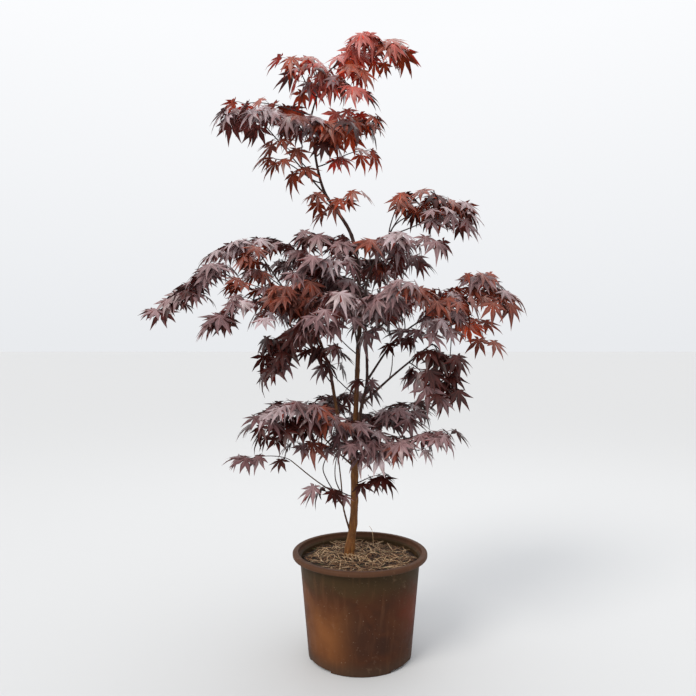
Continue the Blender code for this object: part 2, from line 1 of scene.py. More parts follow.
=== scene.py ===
"""The looks of a young japanese maple in its nursery pot: wood, leaves, pot, mulch, light and camera.

Metres, +Z up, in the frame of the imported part. Wood and leaves grow by the rule of the part's solids and
carry on to finer twigs. Every finished piece rides on the one body, "root".
"""

import json
import math
import random
from collections import namedtuple

import bmesh
import bpy
from mathutils import Matrix, Vector

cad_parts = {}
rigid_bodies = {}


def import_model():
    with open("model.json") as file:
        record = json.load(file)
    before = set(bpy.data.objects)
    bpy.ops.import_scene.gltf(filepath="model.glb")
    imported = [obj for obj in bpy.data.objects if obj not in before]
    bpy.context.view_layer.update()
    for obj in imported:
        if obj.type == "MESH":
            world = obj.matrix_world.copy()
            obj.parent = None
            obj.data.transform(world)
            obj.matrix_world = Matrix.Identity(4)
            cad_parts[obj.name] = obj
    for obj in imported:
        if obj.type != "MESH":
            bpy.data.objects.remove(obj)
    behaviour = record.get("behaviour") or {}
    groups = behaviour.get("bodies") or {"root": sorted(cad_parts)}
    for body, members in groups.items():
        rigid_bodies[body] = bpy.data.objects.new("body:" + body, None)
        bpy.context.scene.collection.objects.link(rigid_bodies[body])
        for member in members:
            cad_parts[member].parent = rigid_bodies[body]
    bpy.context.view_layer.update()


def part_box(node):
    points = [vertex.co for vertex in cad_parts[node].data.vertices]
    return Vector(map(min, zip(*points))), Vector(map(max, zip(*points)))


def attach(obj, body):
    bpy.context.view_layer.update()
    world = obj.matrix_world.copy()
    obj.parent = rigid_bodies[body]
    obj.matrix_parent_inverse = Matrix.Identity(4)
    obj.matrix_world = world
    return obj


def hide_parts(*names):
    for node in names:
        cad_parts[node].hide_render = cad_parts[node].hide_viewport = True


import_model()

UP = Vector((0.0, 0.0, 1.0))
ROOT = "root"
Mass = namedtuple("Mass", "limb height end width thickness bare hang tint")
Leaf = namedtuple("Leaf", "base turn size kind tint")

# Seeds of the random draws.
WOOD_SEED = 5
BLADE_SEED = 11
STRAW_SEED = 3

# Camera: level with the middle of the crown, as far back as the pot and crown show in the frame.
CAMERA_PLACE = (-0.031, -1.7265, 0.807)
CAMERA_DIP = 0.431  # degrees below level
CAMERA_LENS = 34.34  # millimetres on a 36 mm sensor

# Pot: a tapered moulded shell with a rolled rim and four drainage notches under its edge.
POT_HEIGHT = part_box("pot")[1].z
RIM_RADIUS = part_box("pot")[1].x
RIM_INNER_RADIUS = 0.160
RIM_DEPTH = 0.013
RIM_ROUND = 0.0055
WALL_TOP_RADIUS = 0.156
WALL_FOOT_RADIUS = 0.1335
WALL = 0.003
FLOOR = 0.010
FOOT_ROUND = 0.003
NOTCH_HEIGHT = 0.006
NOTCH_WIDTH = 0.086
NOTCH_INNER = 0.096
NOTCH_DEPTH = 0.060
NOTCH_BEARINGS = (52, 128, 232, 308)  # degrees round from the front
POT_STEPS = 144

# Mulch: a low mound of shredded straw and bark a little under the rim.
MULCH_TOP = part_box("mulch")[1].z
MULCH_EDGE_TOP = 0.242
MULCH_EDGE = WALL_TOP_RADIUS - WALL - 0.0012
BED_UNDERSIDE = 0.232
BED_RINGS = 26
BED_STEPS = 120

# Shreds: their colours, how many lie on a square metre, their length, how high they lie at most, and
# how far from the wall. Only the dark shreds come close to the wall, so a ring of mulch next to it is
# darker: painted shade from the wall and rim.
SHREDS = (
    ("dark_shreds", ("#1a110b", "#2e1d11", "#4a301d"), 13000, 0.028, 0.006, 0.004),
    ("tan_shreds", ("#4e3422", "#714e35", "#946e4c"), 9500, 0.031, 0.010, 0.012),
    ("straw_shreds", ("#846448", "#aa8a68", "#d6bc98"), 6000, 0.031, 0.013, 0.016),
    ("green_shreds", ("#3e4424", "#565a34", "#6c6c42"), 600, 0.028, 0.009, 0.010),
)
SHRED_SHAPES = 6
SHRED_STEPS = 5

# Longer straws that lie on the shreds, and one that stands up at the back.
STRANDS = 26
STRAND_RADII = (0.0009, 0.0005)
STANDING_STRAND = (
    (0.040, 0.124, 0.243), (0.039, 0.134, 0.262), (0.036, 0.141, 0.281), (0.029, 0.144, 0.290))

# Trunk: root flare, lean and long bends up to the tip, with its radius at a few heights.
TRUNK_LINE = (
    (-0.027, 0.012, 0.240), (-0.027, 0.012, 0.262), (-0.015, 0.012, 0.365), (-0.013, 0.010, 0.550),
    (-0.005, 0.002, 0.775), (0.000, 0.000, 0.910), (-0.020, 0.010, 1.082), (-0.094, 0.008, 1.205),
    (-0.122, -0.006, 1.333), (-0.126, -0.010, 1.390), (-0.090, -0.014, 1.492), (-0.050, -0.017, 1.528),
)
TRUNK_TAPER = (
    (0.240, 0.0160), (0.262, 0.0130), (0.305, 0.0110), (0.365, 0.0098), (0.500, 0.0092), (0.530, 0.0068),
    (0.775, 0.0060), (1.000, 0.0052), (1.150, 0.0042), (1.270, 0.0032), (1.390, 0.0023), (1.528, 0.0015),
)

# Limbs: the limb that carries it, the height where it leaves that, the points that it passes up to its
# tip, and its radius at either end.
LIMBS = {
    "left_leader": (
        "trunk", 0.485, ((-0.053, 0.008, 0.594), (-0.078, 0.012, 0.729), (-0.115, 0.000, 0.845)),
        0.0056, 0.0034),
    "right_leader": (
        "trunk", 0.500, ((0.003, -0.014, 0.640), (0.018, -0.016, 0.717), (0.014, -0.008, 0.890),
                         (0.024, 0.010, 0.985), (0.086, 0.040, 1.110)),
        0.0052, 0.0021),
    "right_low_bough": (
        "right_leader", 0.650, ((0.087, -0.045, 0.728), (0.173, -0.075, 0.801)), 0.0036, 0.0020),
    "right_mid_bough": (
        "right_leader", 0.710, ((0.087, -0.020, 0.811), (0.157, -0.040, 0.868)), 0.0032, 0.0019),
    "right_back_bough": (
        "right_leader", 0.820, ((0.130, 0.050, 0.905), (0.276, 0.064, 0.954)), 0.0031, 0.0018),
    "right_hang_bough": (
        "right_low_bough", 0.756, ((0.124, -0.072, 0.757), (0.137, -0.084, 0.748)), 0.0018, 0.0014),
    "left_long_bough": (
        "left_leader", 0.765, ((-0.164, -0.028, 0.836), (-0.241, -0.050, 0.920), (-0.338, -0.066, 0.980)),
        0.0035, 0.0018),
    "left_high_bough": (
        "left_leader", 0.800, ((-0.188, 0.062, 0.930), (-0.278, 0.104, 1.058)), 0.0030, 0.0018),
    "left_low_bough": (
        "left_long_bough", 0.880, ((-0.226, -0.075, 0.896), (-0.252, -0.125, 0.908)), 0.0020, 0.0014),
    "left_under_bough": (
        "left_leader", 0.745, ((-0.112, -0.030, 0.780), (-0.146, -0.062, 0.802)), 0.0022, 0.0015),
    "low_left_bough": (
        "trunk", 0.482, ((-0.066, -0.020, 0.535), (-0.150, -0.060, 0.632)), 0.0026, 0.0015),
    "foot_left_stem": (
        "trunk", 0.300, ((-0.042, -0.004, 0.375), (-0.049, -0.015, 0.450), (-0.056, -0.018, 0.513)),
        0.0026, 0.0015),
    "foot_left_long": (
        "foot_left_stem", 0.405, ((-0.112, -0.045, 0.458), (-0.173, -0.070, 0.513)), 0.0018, 0.0013),
    "top_left_bough": (
        "trunk", 1.190, ((-0.158, -0.034, 1.262), (-0.236, -0.052, 1.350)), 0.0023, 0.0014),
    "front_bough": (
        "trunk", 0.790, ((-0.020, -0.115, 0.868), (-0.031, -0.160, 0.890)), 0.0028, 0.0016),
}
OLD_WOOD = ("trunk", "left_leader")
LIMB_STEP = 0.005
NODE_SPACING = 0.046  # between the rings that old buds leave on the wood
NODE_SWELL = 0.11
FORK_SWELL = 0.40
RIDGE_STRETCH = (1.0, 1.0, 0.28)  # draws the ridges of bark out upwards

# Masses: the limb that carries the stem, the height where it leaves that or its tip, where the stem ends,
# the width and thickness of the mass's space, the share of the stem that is bare, how steeply the leaves
# hang in degrees, and its tint.
TIP = None
MASSES = {
    "crown_top": ("trunk", TIP, (0.100, -0.025, 1.561), 0.14, 0.035, 0.10, 50, "scarlet"),
    "crown_left": ("trunk", 1.440, (-0.170, -0.030, 1.522), 0.11, 0.025, 0.20, 46, "scarlet"),
    "crown_middle": ("trunk", 1.462, (-0.015, -0.085, 1.422), 0.12, 0.040, 0.12, 52, "scarlet"),
    "upper_left_outer": ("top_left_bough", TIP, (-0.318, -0.070, 1.365), 0.14, 0.030, 0.00, 50, "lilac"),
    "upper_left_back": ("trunk", 1.395, (-0.310, 0.060, 1.448), 0.10, 0.020, 0.15, 40, "ember"),
    "upper_left_inner": ("trunk", 1.350, (-0.230, -0.075, 1.380), 0.13, 0.030, 0.10, 50, "lilac"),
    "upper_right": ("trunk", 1.318, (0.028, -0.055, 1.370), 0.14, 0.040, 0.20, 52, "ember"),
    "upper_right_low": ("trunk", 1.265, (0.018, 0.030, 1.315), 0.09, 0.025, 0.30, 50, "ember"),
    "upper_left_low": ("trunk", 1.225, (-0.212, -0.090, 1.260), 0.10, 0.035, 0.40, 50, "ember"),
    "leader_tuft_left": ("trunk", 1.150, (-0.110, -0.034, 1.180), 0.07, 0.025, 0.15, 50, "ember"),
    "leader_tuft_right": ("trunk", 1.160, (-0.015, -0.022, 1.190), 0.07, 0.030, 0.20, 44, "ember"),
    "right_high_outer": ("right_leader", TIP, (0.268, 0.030, 1.172), 0.13, 0.030, 0.40, 46, "rust"),
    "right_high_mid": ("right_leader", 1.098, (0.250, -0.060, 1.128), 0.12, 0.025, 0.50, 44, "mauve"),
    "right_high_low": ("right_leader", 1.060, (0.190, -0.050, 1.060), 0.10, 0.020, 0.25, 42, "mauve"),
    "centre_right": ("trunk", 1.000, (0.145, 0.085, 1.045), 0.15, 0.040, 0.20, 42, "mauve"),
    "centre_left_high": ("trunk", 1.040, (-0.135, 0.034, 1.098), 0.12, 0.030, 0.10, 42, "mauve"),
    "centre_back": ("trunk", 0.905, (-0.108, 0.100, 1.035), 0.13, 0.035, 0.20, 34, "plum"),
    "left_high": ("left_high_bough", TIP, (-0.378, 0.095, 1.048), 0.13, 0.025, 0.10, 38, "lilac"),
    "left_high_inner": ("trunk", 0.950, (-0.270, 0.140, 1.100), 0.12, 0.025, 0.50, 38, "mauve"),
    "left_far": ("left_long_bough", TIP, (-0.463, -0.088, 0.900), 0.14, 0.030, 0.00, 42, "mauve"),
    "left_low": ("left_low_bough", TIP, (-0.325, -0.180, 0.857), 0.13, 0.030, 0.00, 44, "mauve"),
    "left_mid": ("left_leader", TIP, (-0.255, -0.110, 0.985), 0.19, 0.065, 0.15, 46, "rust"),
    "left_mid_back": ("trunk", 0.870, (-0.193, 0.200, 1.004), 0.18, 0.050, 0.34, 34, "plum"),
    "front_centre": ("front_bough", TIP, (-0.105, -0.262, 0.862), 0.16, 0.040, 0.00, 44, "mauve"),
    "front_right": ("right_leader", 0.850, (0.105, -0.200, 0.945), 0.17, 0.050, 0.30, 38, "lilac"),
    "right_mid": ("right_mid_bough", TIP, (0.245, -0.078, 0.925), 0.17, 0.060, 0.00, 44, "rust"),
    "right_far": ("right_back_bough", TIP, (0.380, 0.066, 0.938), 0.13, 0.040, 0.10, 44, "rust"),
    "right_low": ("right_low_bough", TIP, (0.238, -0.080, 0.692), 0.10, 0.045, 0.45, 54, "maroon"),
    "right_inner": ("right_mid_bough", 0.800, (0.108, -0.080, 0.819), 0.06, 0.020, 0.10, 54, "maroon"),
    "right_hang": ("right_hang_bough", TIP, (0.182, -0.118, 0.675), 0.12, 0.045, 0.30, 54, "maroon"),
    "left_under": ("left_under_bough", TIP, (-0.212, -0.124, 0.765), 0.12, 0.060, 0.05, 54, "maroon"),
    "left_under_inner": ("left_leader", 0.705, (-0.127, -0.056, 0.798), 0.10, 0.035, 0.50, 46, "maroon"),
    "low_left": ("low_left_bough", TIP, (-0.255, -0.080, 0.618), 0.15, 0.040, 0.00, 44, "mauve"),
    "low_left_under": ("foot_left_long", TIP, (-0.278, -0.090, 0.520), 0.10, 0.020, 0.00, 30, "plum"),
    "low_front": ("left_leader", 0.560, (-0.105, -0.130, 0.658), 0.15, 0.045, 0.20, 38, "mauve"),
    "low_middle": ("trunk", 0.530, (-0.020, -0.125, 0.565), 0.12, 0.030, 0.10, 40, "plum"),
    "low_right_front": ("trunk", 0.512, (0.178, -0.138, 0.582), 0.12, 0.030, 0.30, 44, "mauve"),
    "low_right_back": ("right_leader", 0.575, (0.150, 0.090, 0.635), 0.17, 0.040, 0.20, 32, "plum"),
    "foot_left": ("trunk", 0.405, (-0.092, -0.060, 0.442), 0.06, 0.020, 0.30, 40, "plum"),
    "foot_right": ("trunk", 0.440, (0.049, -0.022, 0.466), 0.05, 0.015, 0.10, 40, "maroon"),
    "back_mid": ("trunk", 0.800, (0.060, 0.290, 1.013), 0.21, 0.060, 0.34, 34, "plum"),
    "back_low": ("trunk", 0.590, (-0.107, 0.210, 0.647), 0.19, 0.050, 0.34, 34, "plum"),
}

# Sprays that fill out a mass from the same limb, within its reach, in the same columns.
FILL_SPRAYS = {
    "crown_top_left": ("trunk", 1.500, (-0.030, -0.040, 1.549), 0.08, 0.020, 0.30, 46, "scarlet"),
    "crown_inner": ("trunk", 1.455, (-0.120, -0.070, 1.502), 0.10, 0.030, 0.10, 52, "scarlet"),
    "crown_left_inner": ("trunk", 1.470, (-0.120, -0.025, 1.538), 0.10, 0.020, 0.20, 46, "scarlet"),
    "crown_right": ("trunk", 1.515, (0.000, -0.060, 1.475), 0.08, 0.020, 0.30, 52, "ember"),
    "upper_left_front": ("trunk", 1.320, (-0.165, -0.100, 1.350), 0.09, 0.030, 0.20, 50, "rust"),
    "upper_right_front": ("trunk", 1.290, (-0.040, -0.110, 1.335), 0.10, 0.025, 0.30, 50, "rust"),
    "upper_right_top": ("trunk", 1.355, (-0.015, -0.020, 1.400), 0.10, 0.020, 0.15, 50, "scarlet"),
    "upper_left_twigs": ("trunk", 1.240, (-0.200, -0.060, 1.305), 0.07, 0.020, 0.60, 36, "rust"),
    "right_high_left": ("right_leader", 1.095, (0.112, 0.010, 1.200), 0.07, 0.020, 0.65, 46, "rust"),
    "right_high_inner": ("right_leader", TIP, (0.165, -0.020, 1.192), 0.10, 0.020, 0.50, 46, "rust"),
    "right_high_base": ("right_leader", 1.020, (0.095, -0.060, 1.075), 0.08, 0.020, 0.40, 42, "lilac"),
    "centre_top_right": ("trunk", 1.060, (0.035, -0.045, 1.065), 0.08, 0.030, 0.10, 42, "rust"),
    "centre_front_high": ("trunk", 0.930, (-0.115, -0.100, 1.015), 0.14, 0.040, 0.30, 42, "mauve"),
    "left_high_top": ("left_high_bough", TIP, (-0.318, 0.060, 1.070), 0.08, 0.015, 0.20, 38, "lilac"),
    "left_tip": ("left_long_bough", TIP, (-0.502, -0.070, 0.885), 0.08, 0.015, 0.50, 38, "mauve"),
    "left_reach": ("left_long_bough", 0.950, (-0.378, -0.120, 0.968), 0.09, 0.020, 0.20, 38, "lilac"),
    "left_mid_front": ("left_leader", TIP, (-0.190, -0.150, 0.935), 0.13, 0.040, 0.20, 46, "rust"),
    "left_mid_outer": ("left_leader", TIP, (-0.300, -0.130, 0.955), 0.11, 0.030, 0.30, 42, "rust"),
    "left_low_inner": ("left_low_bough", 0.895, (-0.230, -0.185, 0.862), 0.10, 0.035, 0.10, 44, "mauve"),
    "left_under_low": ("left_under_bough", TIP, (-0.208, -0.105, 0.742), 0.10, 0.040, 0.30, 56, "maroon"),
    "left_under_right": ("left_leader", 0.740, (-0.075, -0.080, 0.795), 0.07, 0.030, 0.10, 48, "maroon"),
    "front_right_inner": ("right_leader", 0.855, (0.040, -0.150, 0.920), 0.11, 0.040, 0.20, 40, "mauve"),
    "front_drop": ("trunk", 0.870, (-0.045, -0.150, 0.852), 0.09, 0.030, 0.30, 46, "mauve"),
    "right_twig": ("right_leader", 0.810, (0.048, -0.060, 0.850), 0.05, 0.015, 0.40, 54, "rust"),
    "right_mid_top": ("right_back_bough", 0.915, (0.185, -0.020, 0.938), 0.11, 0.020, 0.20, 44, "lilac"),
    "right_mid_under": ("right_mid_bough", TIP, (0.205, -0.090, 0.835), 0.12, 0.030, 0.20, 44, "mauve"),
    "right_mid_drop": ("right_mid_bough", 0.840, (0.155, -0.105, 0.832), 0.09, 0.030, 0.15, 46, "mauve"),
    "right_mid_low": ("right_mid_bough", TIP, (0.270, -0.040, 0.850), 0.13, 0.040, 0.20, 46, "rust"),
    "right_far_low": ("right_back_bough", TIP, (0.390, 0.040, 0.908), 0.11, 0.030, 0.45, 44, "rust"),
    "right_far_inner": ("right_back_bough", TIP, (0.350, 0.010, 0.905), 0.10, 0.030, 0.30, 48, "rust"),
    "right_far_drop": ("right_back_bough", TIP, (0.328, 0.020, 0.812), 0.06, 0.030, 0.65, 54, "rust"),
    "right_low_top": ("right_low_bough", 0.780, (0.175, -0.110, 0.785), 0.06, 0.020, 0.20, 44, "maroon"),
    "right_low_mid": ("right_low_bough", TIP, (0.212, -0.100, 0.690), 0.09, 0.040, 0.40, 56, "maroon"),
    "trunk_spray": ("trunk", 0.690, (0.010, -0.060, 0.712), 0.05, 0.015, 0.30, 40, "maroon"),
    "low_left_front": ("low_left_bough", 0.600, (-0.210, -0.120, 0.592), 0.11, 0.030, 0.15, 46, "maroon"),
    "low_left_drop": ("low_left_bough", TIP, (-0.215, -0.100, 0.568), 0.08, 0.020, 0.40, 50, "maroon"),
    "low_left_mid": ("foot_left_stem", TIP, (-0.150, -0.060, 0.555), 0.08, 0.015, 0.30, 34, "mauve"),
    "low_middle_back": ("trunk", 0.560, (-0.055, -0.070, 0.605), 0.08, 0.020, 0.20, 34, "plum"),
    "low_right_tip": ("trunk", 0.512, (0.205, -0.110, 0.588), 0.06, 0.015, 0.75, 50, "plum"),
    "low_right_drop": ("trunk", 0.500, (0.140, -0.130, 0.548), 0.07, 0.020, 0.50, 56, "mauve"),
    "low_right_mid": ("trunk", 0.520, (0.100, -0.120, 0.562), 0.10, 0.020, 0.15, 36, "mauve"),
    "low_right_high": ("right_leader", 0.570, (0.110, -0.010, 0.610), 0.12, 0.020, 0.10, 32, "plum"),
}

# Bare shoots: the places that each passes from its root to its tip, thinner than the limbs.
SHOOTS = (
    ((-0.056, -0.018, 0.510), (-0.082, -0.030, 0.540), (-0.116, -0.045, 0.563), (-0.147, -0.055, 0.592)),
    ((-0.068, -0.016, 0.424), (-0.087, -0.026, 0.460), (-0.095, -0.030, 0.486), (-0.087, -0.034, 0.514),
     (-0.074, -0.032, 0.545), (-0.066, -0.026, 0.590)),
    ((-0.052, -0.012, 0.425), (-0.063, -0.020, 0.455), (-0.064, -0.022, 0.490), (-0.058, -0.018, 0.520)),
    ((-0.012, 0.004, 0.672), (-0.040, -0.012, 0.695), (-0.082, -0.030, 0.738)),
    ((-0.006, 0.002, 0.776), (-0.036, -0.014, 0.802), (-0.077, -0.034, 0.846)),
    ((-0.132, -0.012, 1.232), (-0.149, -0.012, 1.262), (-0.149, -0.012, 1.350), (-0.149, -0.016, 1.440),
     (-0.143, -0.022, 1.478)),
    ((0.074, -0.038, 0.716), (0.080, -0.050, 0.748), (0.083, -0.052, 0.812)),
    ((0.100, -0.028, 0.822), (0.112, -0.044, 0.838), (0.112, -0.050, 0.870)),
    ((0.226, -0.078, 0.880), (0.224, -0.084, 0.810), (0.219, -0.086, 0.744)),
)

# Tints: how often a leaf above its mass's stem takes each tint, and how often one below it does. Leaves
# below the stem take darker tints, partly the darker colour of shaded leaves and partly painted shade;
# those above take more of the pale lilac and mauve.
TINT_MIX = {
    "scarlet": ({"scarlet": 7, "ember": 3, "mauve": 1}, {"ember": 5, "scarlet": 3, "rust": 2}),
    "ember": ({"ember": 5, "rust": 2, "scarlet": 2, "mauve": 1}, {"ember": 4, "rust": 4, "maroon": 2}),
    "rust": ({"rust": 5, "mauve": 2, "maroon": 2, "ember": 1}, {"rust": 6, "ember": 1, "maroon": 3}),
    "lilac": ({"lilac": 7, "mauve": 3}, {"lilac": 4, "mauve": 4, "rust": 2}),
    "mauve": ({"mauve": 6, "lilac": 2, "plum": 2}, {"plum": 4, "mauve": 3, "maroon": 2, "rust": 1}),
    "plum": ({"plum": 5, "mauve": 3}, {"plum": 5, "maroon": 3}),
    "maroon": ({"maroon": 12, "plum": 1}, {"maroon": 9, "plum": 1}),
}
SPRAY_TINT = 0.5  # how often a leaf keeps its spray's tint

# Stems and twigs, with the radius of each order of wood.
STEM_RADII = (0.0019, 0.0010)
TWIG_RADII = (0.0011, 0.0007)
FINE_RADII = (0.0008, 0.0005)
STALK_RADII = (0.0006, 0.0005)
SHOOT_RADII = (0.0016, 0.0010)
STEM_STEPS = 10
STEM_GUIDES = (0.22, 0.66)  # where its curve's two guide points lie, as shares of the stem's length
STEM_ARCH = 0.08  # rise over the straight line, as a share of the stem's length
TWIG_SPACING = 0.078
FINE_SPACING = 0.042
SHORTEST_TWIG = 0.022
TIP_ROOM = 0.028  # room that a side twig leaves for the leaf at its end
TWIG_LENGTH = 1.10  # the first side twig's, as a share of half the width of the mass's space
TWIG_LOSS = 0.45  # how much of that share is lost up to the stem's end
TWIG_LIFTS = (0.55, -0.45)  # of twigs above and below the stem, as shares of the mass's thickness
TWIG_BARE = 0.35
FINE_LENGTH = 0.46  # the first finer twig's, as a share of its side twig's length
FINE_LOSS = 0.18
TWIG_ANGLES = (66, 42)
TWIG_FALL = 0.10
STEM_BARE_LEAST = 0.12
FULLNESS = 0.78  # how often a bud bears a leaf

# Leaves: seven long pointed lobes round the top of the stalk, by bearing in degrees and share of the
# length.
LEAF_LENGTH = 0.064
LEAF_THICKNESS = 0.0004
LEAF_SPACING = 0.041
LOBES = ((0, 1.00), (36, 0.93), (73, 0.72), (116, 0.34))
SINUSES = ((18, 0.19), (55, 0.17), (95, 0.12))
LOBE_SECTIONS = ((0.45, 0.122), (0.75, 0.052))  # share of the lobe's length and half width there
SMALL_LOBE = 0.5  # lobes shorter than this have one section
RIB_BEND = 0.52  # where a lobe's midrib bends, as a share of its length
LOBE_FOLD = 0.24  # how far a lobe's edges fall below its midrib, as a share of its half width
BASE_BEARING = math.radians(155)
BASE_REACH = 0.05
LEAF_SHAPES = 9
STALK = 0.46  # length of a leaf's stalk, as a share of the leaf's
STALK_SIZES = (0.80, 1.20)
SPACE_MARGIN = 0.052  # how far outside its mass's half width the middle of a leaf may lie
LEAF_CLEARANCE = 0.011  # from a limb's middle line
LEAF_STRAY = 0.35  # radians by which a leaf turns, hangs and rolls off its pair's way
LEAF_SIZES = (0.66, 1.10)
UPPER_ROUGHNESS = 0.36
UNDER_ROUGHNESS = 0.55

# Patterns in the finishes: how large each one's features are, in millimetres.
BARK_GRAIN = 5.0
BARK_BLOTCH = 60.0
LENTICEL = 6.5
LEAF_CLOUD = 28.0
LEAF_VEIN = 2.4
STALK_CLOUD = 20.0
POT_CLOUD = 55.0
POT_STREAK = 14.0
POT_SCUFF = 24.0
POT_SPECK = 3.0
POT_SKIN = 2.0
FIBRE = 7.0

# Patches of colour on the pot: their middle, how far they reach, and their colour. The two orange ones,
# low at the left front and higher on the left, are painted light, a glow reflected onto the pot; the
# others make it darker or redder in places.
POT_PATCHES_AND_PAINTED_GLOW = (
    ((-0.098, -0.120, 0.085), 0.140, "#7d4d2a"), ((-0.140, -0.050, 0.165), 0.085, "#683f23"),
    ((0.022, -0.150, 0.080), 0.120, "#36221a"), ((0.130, -0.070, 0.145), 0.105, "#602a16"),
    ((0.060, 0.140, 0.120), 0.120, "#6a3c24"), ((-0.070, 0.130, 0.080), 0.110, "#38251c"),
)

# Stage: how far the floor reaches, and each light's kind, place, spread, power and colour.
FLOOR_REACH = 60.0
LIGHTS = (
    ("key", "SUN", (-1.6, -1.8, 3.0), 0.45, 1.7, (1.0, 0.96, 0.90)),
    ("sky", "AREA", (0.4, 1.2, 3.2), 2.6, 22.0, (0.95, 0.97, 1.0)),
)
LIGHT_AIM = Vector((0.0, 0.0, 0.8))

# Nodes, pieces and guides.


def linear(code):
    """An sRGB hex colour as the linear values that a shader takes."""
    parts = (int(code[k:k + 2], 16) / 255 for k in (1, 3, 5))
    return tuple(c / 12.92 if c <= 0.04045 else ((c + 0.055) / 1.055) ** 2.4 for c in parts) + (1.0,)


def socket(sockets, name=None):
    """The socket in use with this name, or the first one in use."""
    return next(s for s in sockets if s.enabled and name in (None, s.name, s.identifier))


def fill(tree, node, inputs):
    """Sets a node's inputs, each a value, an sRGB hex colour or another node's output."""
    for name, value in inputs.items():
        target = node.inputs[name] if isinstance(name, int) else socket(node.inputs, name)
        if isinstance(value, bpy.types.NodeSocket):
            tree.links.new(value, target)
        elif isinstance(value, str) and value.startswith("#"):
            target.default_value = linear(value)
        else:
            target.default_value = value


def add(tree, kind, inputs=None, stops=None, out=None, **settings):
    """Adds a node with its settings, inputs and ramp stops. Gives the output in use or the one named."""
    node = tree.nodes.new(kind)
    for key, value in settings.items():
        setattr(node, key, value)
    fill(tree, node, inputs or {})
    if stops:
        ramp = node.color_ramp
        while len(ramp.elements) < len(stops):
            ramp.elements.new(1.0)
        for element, (place, code) in zip(ramp.elements, stops):
            element.position = place
            element.color = linear(code)
    return socket(node.outputs, out)


def new_piece(name, mesh):
    obj = bpy.data.objects.new(name, mesh)
    bpy.context.scene.collection.objects.link(obj)
    return obj


def kept(obj, slot, nodes=()):
    """Lets a finished piece ride on the body and stand for its CAD nodes. Its slot is not used."""
    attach(obj, ROOT)
    if nodes:
        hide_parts(*nodes)
    return obj


def guide_mesh(name, points, edges=(), **attributes):
    """A mesh of points and edges that carries what a node tree reads at each point."""
    mesh = bpy.data.meshes.new(name)
    mesh.from_pydata(points, edges, [])
    for label, (kind, values) in attributes.items():
        layer = mesh.attributes.new(label, kind, "POINT")
        if kind == "QUATERNION":
            layer.data.foreach_set("value", [part for value in values for part in value])
        else:
            layer.data.foreach_set("value", values)
    return new_piece(name, mesh)


def node_tree(name, inputs):
    """An empty geometry tree with named inputs, and its group input and output nodes."""
    tree = bpy.data.node_groups.new(name, "GeometryNodeTree")
    tree.interface.new_socket("Geometry", in_out="INPUT", socket_type="NodeSocketGeometry")
    for label, kind in inputs.items():
        tree.interface.new_socket(label, in_out="INPUT", socket_type="NodeSocket" + kind)
    tree.interface.new_socket("Geometry", in_out="OUTPUT", socket_type="NodeSocketGeometry")
    return tree, tree.nodes.new("NodeGroupInput").outputs, tree.nodes.new("NodeGroupOutput").inputs


def baked(name, guide, tree, values):
    """Runs a node tree on a guide, keeps the result as a plain mesh piece, and removes the guide."""
    step = guide.modifiers.new(tree.name, "NODES")
    step.node_group = tree
    for item in tree.interface.items_tree:
        if item.in_out == "INPUT" and item.name in values:
            step[item.identifier] = values[item.name]
    graph = bpy.context.evaluated_depsgraph_get()
    mesh = bpy.data.meshes.new_from_object(guide.evaluated_get(graph))
    mesh.name = name
    bpy.data.objects.remove(guide)
    return new_piece(name, mesh)


# The growing rule, as in the part's solids.


def smooth_line(points, step=LIMB_STEP):
    """Points about a step apart on the Catmull-Rom curve through the given points."""
    points = [Vector(point) for point in points]
    ends = [points[0] * 2 - points[1], *points, points[-1] * 2 - points[-2]]
    line = []
    for a, b, c, d in zip(ends, ends[1:], ends[2:], ends[3:]):
        steps = max(1, round((c - b).length / step))
        for t in (k / steps for k in range(steps)):
            line.append(0.5 * (2 * b + (c - a) * t + (2 * a - 5 * b + 4 * c - d) * t**2
                               + (3 * b - a - 3 * c + d) * t**3))
    return [*line, points[-1]]


def length_of(line):
    return sum((b - a).length for a, b in zip(line, line[1:]))


def trunk_radius(height):
    for (low, wide), (high, narrow) in zip(TRUNK_TAPER, TRUNK_TAPER[1:]):
        if height <= high:
            return wide + (narrow - wide) * max(0.0, (height - low) / (high - low))
    return TRUNK_TAPER[-1][1]


def along_line(line, share):
    """Place and direction at a share of a line's points."""
    spot = share * (len(line) - 1)
    k = min(int(spot), len(line) - 2)
    return line[k].lerp(line[k + 1], spot - k), (line[k + 1] - line[k]).normalized()


def at_height(limb, height):
    """Place, direction and radius where a limb first passes a height, or at its tip."""
    line, radii = limb
    if height is TIP:
        return line[-1], (line[-1] - line[-2]).normalized(), radii[-1]
    k = next(k for k, (a, b) in enumerate(zip(line, line[1:])) if a.z <= height <= b.z)
    share = (height - line[k].z) / (line[k + 1].z - line[k].z)
    return line[k].lerp(line[k + 1], share), (line[k + 1] - line[k]).normalized(), radii[k]


def plan_limbs():
    """Each limb's line and radii, in growing order."""
    foot, *rest = TRUNK_LINE
    trunk = [Vector(foot), *smooth_line(rest)]
    limbs = {"trunk": (trunk, [trunk_radius(point.z) for point in trunk])}
    for name, (carrier, height, passes, thick, thin) in LIMBS.items():
        line = smooth_line([at_height(limbs[carrier], height)[0], *passes])
        last = len(line) - 1
        limbs[name] = (line, [thick + (thin - thick) * (k / last) ** 0.8 for k in range(last + 1)])
    return limbs


def swollen(line, radii, carrier_radius, rng):
    """A limb's radii with the collar at its fork and the rings of its old buds."""
    travelled, ring, out = 0.0, NODE_SPACING * rng.uniform(0.3, 1.0), []
    for k, radius in enumerate(radii):
        travelled += (line[k] - line[k - 1]).length if k else 0.0
        if travelled > ring + NODE_SPACING / 2:
            ring += NODE_SPACING * rng.uniform(0.7, 1.5)
        collar = FORK_SWELL * math.exp(-travelled / (carrier_radius * 1.6)) if carrier_radius else 0.0
        bud = NODE_SWELL * math.exp(-((travelled - ring) / (radius * 0.9)) ** 2)
        out.append(radius * (1 + collar + bud))
    return out


